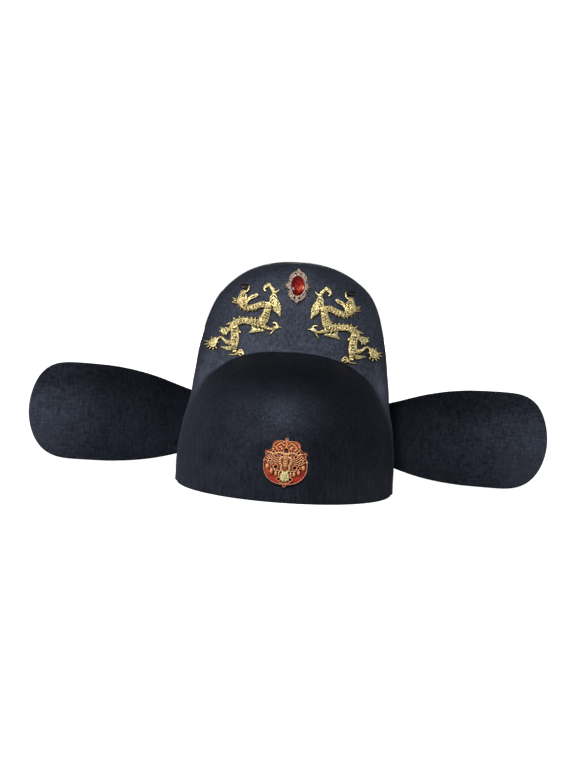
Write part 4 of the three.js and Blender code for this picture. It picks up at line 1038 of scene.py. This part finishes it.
MEDAL_PITS = [  # x, z, half-width, half-height
    (0, 8.3, 1.75, 1.75),
    (6.9, -3.9, 1.3, 1.35),
    (9.9, -3.9, 0.8, 0.8),
    (9.2, 7.2, 0.95, 0.9),
    (9.3, 10.4, 0.6, 0.7),
    (4.7, 7.9, 0.6, 0.55),
    (7.2, 4.0, 0.85, 0.75),
    (2.9, 4.9, 0.75, 0.75),
    (11.6, 1.1, 0.85, 0.7),
    (3.0, -7.6, 0.8, 0.85),
    (4.3, -12.9, 1.15, 1.05),
    (2.1, 13.6, 0.55, 0.6),
]
MEDAL_RINGS = [(0.7, 1.05), (-4.6, 0.95)]  # height, radius, on the column
MEDAL_BOSS = (0, -10.9, 3.5, 4.1, 1.5)


def medal_field(x, z):
    ax = np.abs(x)
    w, mid, l, full = MEDAL_BODY
    d = (((ax / w) ** full + (np.abs(z - mid) / l) ** full) ** (1 / full) - 1) * 15.5
    for cx, cz, r in MEDAL_DISCS:
        d = np.minimum(d, np.hypot(ax - cx, z - cz) - r)
    return d


def medal_relief(x, z):
    """Height over the ground, and how much of the surface is metal, boss, pit and pale rim."""
    ax = np.abs(x)
    d = medal_field(x, z)
    top, gold = np.zeros(x.shape), np.zeros(x.shape)
    for row in MEDAL_RIDGES:
        e, along, across, width = stroke_at(row[1:9], ax, z)
        q = np.clip(np.abs(across) / np.maximum(width, 1e-3), 0, 1)
        dome = np.sqrt(np.clip(1 - q * q, 0, 1)) * (e < 0)
        cord = 1 + 0.14 * np.cos(2 * math.pi * along / 1.3)
        top = np.maximum(top, row[9] * dome * cord)
        gold = np.maximum(gold, 1 - smooth(-0.1, 0.15, e))
    for cx, cz, w, l in MEDAL_OVALS:
        q = np.hypot((ax - cx) / w, (z - cz) / l)
        top = np.maximum(top, 1.25 * np.sqrt(np.clip(1 - q * q, 0, 1)))
        gold = np.maximum(gold, 1 - smooth(0.95, 1.12, q))
    for cz, r in MEDAL_RINGS:
        rr = np.hypot(x, z - cz)
        top = top - 0.7 * np.exp(-(((rr - r) / 0.3) ** 2)) + 0.3 * np.exp(-((rr / 0.5) ** 2))
    cx, cz, w, l, up = MEDAL_BOSS
    # the boss: a small muzzle, narrow above, with two ears
    ww = w * (1 - 0.42 * smooth(0.2, 1.0, (z - cz) / l))
    q = np.hypot(x / ww, (z - cz) / l)
    ears = np.hypot(ax - 1.6, (z - cz - 3.3) * 0.8) / 1.0
    boss_dome = up * np.maximum(np.sqrt(np.clip(1 - q * q, 0, 1)), 0.75 * np.sqrt(np.clip(1 - ears * ears, 0, 1)))
    q = np.minimum(q, ears)
    boss_dome = boss_dome - 0.35 * np.exp(-(((ax - 1.5) / 0.55) ** 2) - ((z - cz - 0.9) / 0.8) ** 2) * (q < 1)
    boss_dome = boss_dome - 0.45 * np.exp(-((x / 0.35) ** 2)) * (z < cz - 0.6) - 0.4 * np.exp(-(((z - cz + 0.9 + 0.12 * ax) / 0.35) ** 2))
    top = np.where(q < 1, np.maximum(top * 0.3, boss_dome), top)
    boss = 1 - smooth(0.9, 1.05, q)
    gold = gold * (1 - boss)
    rim = np.exp(-(((-d) - 0.45) / 0.3) ** 2)
    angle = np.arctan2(z, x)
    top = np.maximum(top, rim * (0.85 + 0.14 * np.cos(angle * 56)))
    rim_area = (1 - smooth(0.65, 0.95, -d)) * (0.45 + 0.55 * (1 - smooth(-2, 5, z)))
    pit = np.zeros(x.shape)
    for cx, cz, w, l in MEDAL_PITS:
        q = np.hypot((ax - cx) / w, (z - cz) / l)
        pit = np.maximum(pit, 1 - smooth(0.6, 1.05, q))
        ring = np.exp(-(((q - 1.0) * min(w, l) - 0.3) / 0.26) ** 2)
        top = np.maximum(top, 0.75 * ring)
        gold = np.maximum(gold, 0.9 * ring * (1 - boss))
    grain = 0.09 * np.sin(x * 3.7 + 2.0 * np.sin(z * 2.3)) * np.sin(z * 3.9 + 1.6 * np.sin(x * 2.1))
    return top + grain - pit * 1.5, gold, boss, pit, rim_area


def build_medallion():
    box = (-19, 19, -21, 21)
    flat = flat_mesh(medal_field, *box, 0.18)
    x, z = flat[0][:, 0], flat[0][:, 1]
    d = medal_field(x, z)
    r = np.clip(np.hypot(x / 17.5, z / 19.0), 0, 1)
    top, gold, boss, pit, rim = medal_relief(x, z)
    proud = standing_out(lambda u, v: medal_relief(u, v)[0], flat[0], box, 0.6)
    h = 1.0 + 1.5 * (1 - r * r) + top
    edge = np.clip(-d / 0.5, 0, 1)
    round_off = np.sqrt(np.clip(1 - (1 - edge) ** 2, 0, 1))
    h = GAP + 0.3 + (h - 0.3) * (0.3 + 0.7 * round_off)

    def place(p, height):
        base = on_dome(MEDAL_X + p[:, 0], MEDAL_Z + p[:, 1])
        return base + crown_normal(base) * np.asarray(height)[:, None]

    drops = np.min([np.hypot((np.abs(x) - cx) / w, (z - cz) / l) for cx, cz, w, l in MEDAL_OVALS[:3]], 0)
    knobs = np.exp(-(((np.abs(x) - 15.8) / 1.1) ** 2) - ((z - 0.6) / 1.6) ** 2)
    values = {
        "gold": np.clip(gold, 0, 1),
        "boss": boss,
        "pit": pit,
        "rim": np.maximum(np.maximum(rim, knobs), smooth(15.7, 16.4, z)),
        "drop": 1 - smooth(0.95, 1.15, drops),
        "depth": np.clip(0.5 + 1.2 * proud, 0, 1),
        "middle": np.exp(-((x / 5.5) ** 2) - ((z - 1.5) / 6.0) ** 2),
        "brow": smooth(6.5, 9.5, z) * (1 - smooth(15.4, 16.2, z)),
        "cheek": 1 - smooth(-11.5, -8.5, z),
    }
    return relief("beast_brooch", flat, h, GAP, place, ["medallion"], values=values)


# ---------------------------------------------------------------- materials
class Tree:
    """A small helper to wire shader nodes."""

    def __init__(self, name):
        self.mat = bpy.data.materials.new(name)
        self.mat.use_nodes = True
        self.t = self.mat.node_tree
        self.bsdf = self.t.nodes["Principled BSDF"]
        self.coords = self.t.nodes.new("ShaderNodeTexCoord").outputs["Object"]

    def new(self, kind, **props):
        n = self.t.nodes.new(kind)
        for k, v in props.items():
            setattr(n, k, v)
        return n

    def link(self, a, b):
        self.t.links.new(a, b)

    def scaled(self, v):
        m = self.new("ShaderNodeMapping")
        self.link(self.coords, m.inputs["Vector"])
        m.inputs["Scale"].default_value = v
        return m.outputs["Vector"]

    def noise(self, scale, stretch=(1, 1, 1), detail=2.0, rough=0.5, distortion=0.0):
        n = self.new("ShaderNodeTexNoise")
        self.link(self.scaled(stretch), n.inputs["Vector"])
        n.inputs["Scale"].default_value = scale
        n.inputs["Detail"].default_value = detail
        n.inputs["Roughness"].default_value = rough
        n.inputs["Distortion"].default_value = distortion
        return n.outputs["Fac"]

    def math(self, op, a, b=None, c=None):
        n = self.new("ShaderNodeMath", operation=op)
        for i, v in enumerate((a, b, c)):
            if v is None:
                continue
            if isinstance(v, (int, float)):
                n.inputs[i].default_value = v
            else:
                self.link(v, n.inputs[i])
        return n.outputs[0]

    def spread(self, v, lo, hi, to_lo=0.0, to_hi=1.0):
        n = self.new("ShaderNodeMapRange")
        self.link(v, n.inputs["Value"])
        n.inputs["From Min"].default_value = lo
        n.inputs["From Max"].default_value = hi
        n.inputs["To Min"].default_value = to_lo
        n.inputs["To Max"].default_value = to_hi
        return n.outputs["Result"]

    def mix(self, f, a, b):
        n = self.new("ShaderNodeMix", data_type="RGBA")
        for sock, v in ((n.inputs["Factor"], f), (n.inputs["A"], a), (n.inputs["B"], b)):
            if isinstance(v, (int, float)):
                sock.default_value = v
            elif isinstance(v, tuple):
                sock.default_value = (*v, 1)
            else:
                self.link(v, sock)
        return n.outputs["Result"]

    def attribute(self, name):
        n = self.new("ShaderNodeAttribute", attribute_name=name)
        return n.outputs["Fac"]

    def bump(self, height, strength, distance, after=None):
        n = self.new("ShaderNodeBump")
        n.inputs["Strength"].default_value = strength
        n.inputs["Distance"].default_value = distance
        self.link(height, n.inputs["Height"])
        if after is not None:
            self.link(after, n.inputs["Normal"])
        return n.outputs["Normal"]

    def set(self, **values):
        for k, v in values.items():
            self.bsdf.inputs[k.replace("_", " ")].default_value = v


def srgb(r, g, b):
    def f(c):
        c /= 255
        return c / 12.92 if c <= 0.04045 else ((c + 0.055) / 1.055) ** 2.4

    return (f(r), f(g), f(b))


def felt_material(name, dark, light, streak, cross, share, contrast):
    """Matted wool: a mottled ground and fine fibres that run mostly up and down, lightened and darkened in places by
    painted light and shade.
    """
    m = Tree(name)
    painted_light_shade = m.attribute("painted_light_shade")
    mottle = m.noise(16, detail=4, rough=0.6)
    cloud = m.noise(75, detail=4, rough=0.6)
    down = m.noise(900, stretch=(1, 1, streak), detail=3, rough=0.7, distortion=0.15)
    over = m.noise(850, stretch=(cross, 1, 1), detail=2, rough=0.65, distortion=0.15)
    fuzz = m.noise(2600, detail=2, rough=0.7)
    fleck = m.noise(600, stretch=(1, 1, 0.4), detail=1, rough=0.5)
    fibre = m.math("ADD", m.math("MULTIPLY", down, 1 - share), m.math("MULTIPLY", over, share))
    tone = m.math("ADD", m.math("MULTIPLY", fibre, 0.66), m.math("MULTIPLY", fuzz, 0.14))
    tone = m.math("ADD", tone, m.math("MULTIPLY", cloud, 0.12))
    tone = m.math("ADD", tone, m.math("MULTIPLY", mottle, 0.08))
    f = m.spread(tone, 0.38, 0.64)
    base = m.mix(f, dark, light)
    speck = m.math("MULTIPLY", m.spread(fleck, 0.62, 0.74, 0.0, 0.4), painted_light_shade)
    base = m.mix(speck, base, (light[0] * 1.6, light[1] * 1.55, light[2] * 1.5))
    # painted shade: where the painted light and shade runs low the felt goes almost black
    base = m.mix(m.spread(painted_light_shade, 0.0, 1.0, 0.1, 1.0), (0.0022, 0.0029, 0.0043), base)
    # painted light: where it runs high the felt is made lighter
    base = m.mix(m.spread(painted_light_shade, 1.3, 2.0, 0.0, 0.45), base, (light[0] * 1.5, light[1] * 1.45, light[2] * 1.4))
    m.link(base, m.bsdf.inputs["Base Color"])
    # the painted light and shade also sets the roughness and the specular level, so the sheen follows it
    m.link(m.math("ADD", m.spread(fibre, 0.35, 0.65, 0.06, -0.06), m.spread(painted_light_shade, 0.0, 0.5, 0.72, 0.6)), m.bsdf.inputs["Roughness"])
    height = m.math("ADD", m.math("MULTIPLY", fibre, 0.75), m.math("MULTIPLY", fuzz, 0.25))
    lie = m.bump(cloud, 0.3, 0.0012)
    m.link(m.bump(height, 0.8, 0.0004, lie), m.bsdf.inputs["Normal"])
    m.link(m.math("MULTIPLY", m.spread(painted_light_shade, 0.0, 2.0, 0.08, 0.923), m.math("MULTIPLY", m.spread(fibre, 0.36, 0.64, 1 - contrast, 1 + contrast), m.spread(cloud, 0.36, 0.64, 0.86, 1.14))), m.bsdf.inputs["Specular IOR Level"])
    m.set(Sheen_Weight=0.02, Sheen_Roughness=0.5)
    m.bsdf.inputs["Sheen Tint"].default_value = (0.55, 0.62, 0.85, 1)
    m.bsdf.inputs["Specular Tint"].default_value = (0.68, 0.77, 1.0, 1)
    return m.mat


def gold_material():
    """Pale plated casting: bright on its high parts, brown in its hollows, with painted shade along its border, greener
    on its leaves.
    """
    m = Tree("pale_gold_cast")
    depth, leaf = m.attribute("depth"), m.attribute("leaf")
    tarnish = m.noise(260, detail=4, rough=0.6)
    pits = m.noise(1500, detail=3, rough=0.6)
    level = m.math("ADD", depth, m.math("MULTIPLY", m.math("SUBTRACT", tarnish, 0.5), 0.95))
    level = m.math("ADD", level, m.math("MULTIPLY", m.math("SUBTRACT", pits, 0.5), 0.45))
    base = m.mix(m.spread(level, 0.16, 0.54), srgb(40, 26, 10), srgb(190, 166, 98))
    base = m.mix(m.spread(level, 0.52, 0.85), base, srgb(232, 214, 158))
    base = m.mix(m.math("MULTIPLY", m.math("MULTIPLY", leaf, 0.5), m.spread(level, 0.2, 0.6)), base, srgb(226, 218, 158))
    m.link(base, m.bsdf.inputs["Base Color"])
    m.set(Metallic=0.62)
    m.link(m.spread(m.math("ADD", tarnish, m.math("MULTIPLY", pits, 0.4)), 0.4, 1.0, 0.28, 0.44), m.bsdf.inputs["Roughness"])
    m.link(m.bump(m.math("ADD", pits, m.math("MULTIPLY", tarnish, 0.6)), 0.3, 0.00018), m.bsdf.inputs["Normal"])
    return m.mat


def setting_material():
    m = Tree("pinkish_silver_cast")
    depth = m.attribute("depth")
    tarnish = m.noise(220, detail=4, rough=0.6)
    pits = m.noise(2400, detail=2, rough=0.6)
    grime = m.spread(m.math("ADD", depth, m.math("MULTIPLY", m.math("SUBTRACT", tarnish, 0.5), 0.4)), 0.2, 0.62)
    base = m.mix(grime, srgb(70, 50, 38), srgb(208, 186, 168))
    m.link(base, m.bsdf.inputs["Base Color"])
    m.set(Metallic=0.4)
    m.link(m.spread(tarnish, 0.3, 0.7, 0.3, 0.46), m.bsdf.inputs["Roughness"])
    m.link(m.bump(m.math("ADD", pits, tarnish), 0.25, 0.00012), m.bsdf.inputs["Normal"])
    return m.mat


def stone_material():
    m = Tree("cut_red_glass")
    glow = m.attribute("glow")
    cloud = m.noise(260, detail=2, rough=0.5)
    base = m.mix(m.spread(glow, 0.0, 0.5), srgb(92, 6, 8), srgb(196, 30, 14))
    base = m.mix(m.spread(glow, 0.45, 0.9), base, srgb(255, 108, 66))
    base = m.mix(m.spread(cloud, 0.4, 0.7, 0.0, 0.3), base, srgb(120, 14, 12))
    m.link(base, m.bsdf.inputs["Base Color"])
    m.link(m.spread(cloud, 0.3, 0.7, 0.05, 0.12), m.bsdf.inputs["Roughness"])
    m.set(Transmission_Weight=0.12, IOR=1.55, Coat_Weight=0.4, Coat_Roughness=0.05)
    m.link(m.bump(cloud, 0.08, 0.0001), m.bsdf.inputs["Normal"])
    return m.mat


def medallion_material():
    """Peach-gold relief on worn red enamel, with a pale yellow boss and a pinkish silver rim."""
    m = Tree("enamelled_gold_relief")
    gold, boss, pit, depth, rim, middle, brow, cheek, drop = (
        m.attribute(n) for n in ("gold", "boss", "pit", "depth", "rim", "middle", "brow", "cheek", "drop")
    )
    tarnish = m.noise(260, detail=4, rough=0.6)
    fine = m.noise(1700, detail=3, rough=0.6)
    level = m.math("ADD", depth, m.math("MULTIPLY", m.math("SUBTRACT", tarnish, 0.5), 0.6))
    metal = m.mix(m.spread(level, 0.3, 0.66), srgb(96, 30, 12), srgb(224, 134, 80))
    metal = m.mix(m.spread(level, 0.66, 0.92), metal, srgb(255, 210, 152))
    metal = m.mix(m.math("MULTIPLY", drop, 0.75), metal, m.mix(m.spread(level, 0.4, 0.85), srgb(182, 70, 36), srgb(255, 170, 114)))
    metal = m.mix(m.math("MULTIPLY", brow, 0.55), metal, m.mix(m.spread(level, 0.3, 0.8), srgb(120, 34, 12), srgb(255, 140, 74)))
    metal = m.mix(m.math("MULTIPLY", middle, 0.6), metal, srgb(214, 166, 108))
    enamel = m.mix(m.spread(level, 0.15, 0.6), srgb(54, 10, 4), srgb(202, 56, 32))
    enamel = m.mix(m.spread(m.noise(130, detail=3), 0.42, 0.6, 0.0, 0.45), enamel, srgb(190, 88, 44))
    enamel = m.mix(m.math("MULTIPLY", cheek, 0.8), enamel, m.mix(m.spread(level, 0.25, 0.6), srgb(110, 20, 12), srgb(220, 62, 44)))
    worn = m.math("MULTIPLY", gold, m.spread(fine, 0.2, 0.45, 0.8, 1.0))
    base = m.mix(worn, enamel, metal)
    base = m.mix(m.math("MULTIPLY", rim, 0.9), base, m.mix(m.spread(level, 0.2, 0.7), srgb(78, 32, 20), srgb(216, 152, 120)))
    base = m.mix(boss, base, m.mix(m.spread(level, 0.2, 0.75), srgb(150, 112, 44), srgb(255, 244, 176)))
    base = m.mix(m.math("MULTIPLY", pit, 0.95), base, srgb(34, 14, 8))
    m.link(base, m.bsdf.inputs["Base Color"])
    m.link(m.spread(worn, 0.2, 0.8, 0.0, 0.25), m.bsdf.inputs["Metallic"])
    m.link(m.spread(tarnish, 0.3, 0.7, 0.36, 0.5), m.bsdf.inputs["Roughness"])
    m.link(m.bump(m.math("ADD", fine, tarnish), 0.25, 0.00015), m.bsdf.inputs["Normal"])
    return m.mat


# ---------------------------------------------------------------- build
crown = build_crown()
wings = [build_wing("felt_wing_right", 1), build_wing("felt_wing_left", -1)]
keeper = build_keeper()
dragons = build_dragons()
setting = build_setting()
gem = build_stone()
brooch = build_medallion()

# painted light and shade on the felt: lighter on the raised back's face, on the strips beside the dome and in a
# highlight on the dome's front, darker on the dome's crest, towards its right and along the wings' necks and tops
p = corners(crown)
soft_line = 13 * (1 - smooth(62, 98, p[:, 2]))
step = front_dome(p[:, 0], p[:, 1], p[:, 2]) - raised_back(p[:, 0], p[:, 1], p[:, 2])
on_back = smooth(-1.2 - soft_line, 0.8 + soft_line * 0.3, step)
crest = smooth(72, 97, p[:, 2])
x, z = p[:, 0], p[:, 2]
# on the dome: painted shade towards its right, painted light at its left and right edges and low down
dome_painted_light = 0.365 - (0.06 + 0.17 * smooth(15, 50, z)) * smooth(-10, 40, x) + 0.95 * smooth(-54, -92, x) + 0.3 * smooth(60, 92, x) + 0.2 * (1 - smooth(0, 34, z))
# a painted highlight on the dome's front
dome_painted_light += 0.25 * np.exp(-((x / 26) ** 2) - ((z - 70) / 14) ** 2)
# on the raised back: painted light in a band just above the dome's crest and on the strips either side of the dome
back_painted_light = 1 + 0.4 * np.exp(-((step / 10) ** 2)) * smooth(80, 96, z) + 1.0 * smooth(60, 72, np.abs(x)) * (1 - smooth(78, 104, z))
# painted shade on the dome's crest
give(crown, "painted_light_shade", on_back * back_painted_light + (1 - on_back) * (dome_painted_light * (1 - 0.87 * crest) + 0.1 * crest * smooth(22, 46, np.abs(x))))
# wings: painted light towards the outer ends and low down, painted shade at the neck and along the top
for o in wings:
    p = corners(o)
    ax = np.abs(p[:, 0])
    ramp = 1.2 * smooth(128, 208, ax) if p[:, 0].mean() > 0 else 1.2 * smooth(142, 206, ax)
    give(o, "painted_light_shade", (0.48 + ramp + 0.25 * (1 - smooth(28, 52, p[:, 2]))) * (1 - 0.8 * smooth(42, 76, p[:, 2])))
# the keeper: one fixed low level of the painted light and shade, so painted shade
give(keeper, "painted_light_shade", np.full(len(keeper.data.vertices), 0.3))

crown_felt = felt_material("crown_felt", (0.0055, 0.0065, 0.01), (0.036, 0.0415, 0.062), 0.10, 0.35, 0.34, 0.36)
wing_felt = felt_material("wing_felt", (0.0055, 0.0065, 0.01), (0.036, 0.0415, 0.062), 0.14, 0.16, 0.45, 0.6)
crown.data.materials.append(crown_felt)
for o in (*wings, keeper):
    o.data.materials.append(wing_felt)
gold = gold_material()
for o in dragons:
    o.data.materials.append(gold)
setting.data.materials.append(setting_material())
gem.data.materials.append(stone_material())
brooch.data.materials.append(medallion_material())


# ---------------------------------------------------------------- camera, at the photograph's angle
ELEVATION, AZIMUTH, ROLL, DISTANCE, LENS = 5.0, 0.0, 4.0, 2.6, 154.4
TARGET = Vector((-0.0023, 0.0, 0.0823))
e, a, r = (math.radians(v) for v in (ELEVATION, AZIMUTH, ROLL))
back = Vector((math.sin(a) * math.cos(e), -math.cos(a) * math.cos(e), math.sin(e)))
right = Vector((math.cos(a), math.sin(a), 0))
up = back.cross(right)
cam_x = right * math.cos(r) + up * math.sin(r)
cam_y = up * math.cos(r) - right * math.sin(r)
cam = bpy.data.objects.new("camera", bpy.data.cameras.new("camera"))
cam.data.lens = LENS
cam.data.sensor_width = 36
cam.data.clip_end = 60
cam.matrix_world = Matrix(
    [
        [cam_x.x, cam_y.x, back.x, TARGET.x + back.x * DISTANCE],
        [cam_x.y, cam_y.y, back.y, TARGET.y + back.y * DISTANCE],
        [cam_x.z, cam_y.z, back.z, TARGET.z + back.z * DISTANCE],
        [0, 0, 0, 1],
    ]
)
bpy.context.collection.objects.link(cam)
scene = bpy.context.scene
scene.camera = cam
scene.view_settings.view_transform = "Standard"
scene.view_settings.look = "None"


# ---------------------------------------------------------------- studio
def floor_bowl():
    """A pale floor that turns up softly all round, far behind."""
    flat_r, bend, high, n = 4.2, 1.4, 2.6, 96
    profile = [(0.0, 0.0), (0.6, 0.0), (2.0, 0.0), (flat_r, 0.0)]
    for k in range(1, 13):
        t = k / 12 * math.pi / 2
        profile.append((flat_r + bend * math.sin(t), bend - bend * math.cos(t)))
    profile.append((flat_r + bend, high + bend))
    pts, faces = [], []
    for rad, z in profile:
        for i in range(n):
            t = i / n * 2 * math.pi
            pts.append((rad * math.cos(t), rad * math.sin(t), z))
    for k in range(len(profile) - 1):
        for i in range(n):
            j = (i + 1) % n
            faces.append((k * n + i, k * n + j, (k + 1) * n + j, (k + 1) * n + i))
    mesh = bpy.data.meshes.new("floor")
    mesh.from_pydata(pts, [], [tuple(reversed(f)) for f in faces])
    for p in mesh.polygons:
        p.use_smooth = True
    obj = bpy.data.objects.new("floor", mesh)
    bpy.context.collection.objects.link(obj)
    m = Tree("pale_floor")
    grain = m.noise(3, detail=2)
    m.link(m.mix(grain, (0.86, 0.86, 0.86), (0.88, 0.88, 0.88)), m.bsdf.inputs["Base Color"])
    m.set(Roughness=0.9, Specular_IOR_Level=0.1, Emission_Strength=0.93)
    m.bsdf.inputs["Emission Color"].default_value = (1, 1, 1, 1)
    mesh.materials.append(m.mat)
    obj.visible_diffuse = False
    obj.visible_glossy = False
    return obj


floor_bowl()


def area_light(name, at, aim, size, power, colour=(1, 1, 1)):
    data = bpy.data.lights.new(name, "AREA")
    data.shape = "DISK"
    data.size = size
    data.energy = power
    data.color = colour
    obj = bpy.data.objects.new(name, data)
    bpy.context.collection.objects.link(obj)
    obj.location = at
    obj.rotation_mode = "QUATERNION"
    obj.rotation_quaternion = (Vector(aim) - Vector(at)).to_track_quat("-Z", "Y")
    return obj


area_light("key", (-0.26, -1.4, 1.22), (0, 0, 0.08), 0.4, 22)
area_light("left_front", (-1.65, -0.7, 0.5), (0, 0, 0.08), 0.7, 12)
area_light("right_side", (1.7, -0.25, 0.5), (0, 0, 0.08), 0.7, 6.5)
area_light("behind", (0, 1.7, 0.17), (0, 0, 0.09), 0.28, 5)
world = bpy.data.worlds.new("studio")
world.use_nodes = True
world.node_tree.nodes["Background"].inputs["Color"].default_value = (1, 1, 1, 1)
world.node_tree.nodes["Background"].inputs["Strength"].default_value = 0.08
scene.world = world
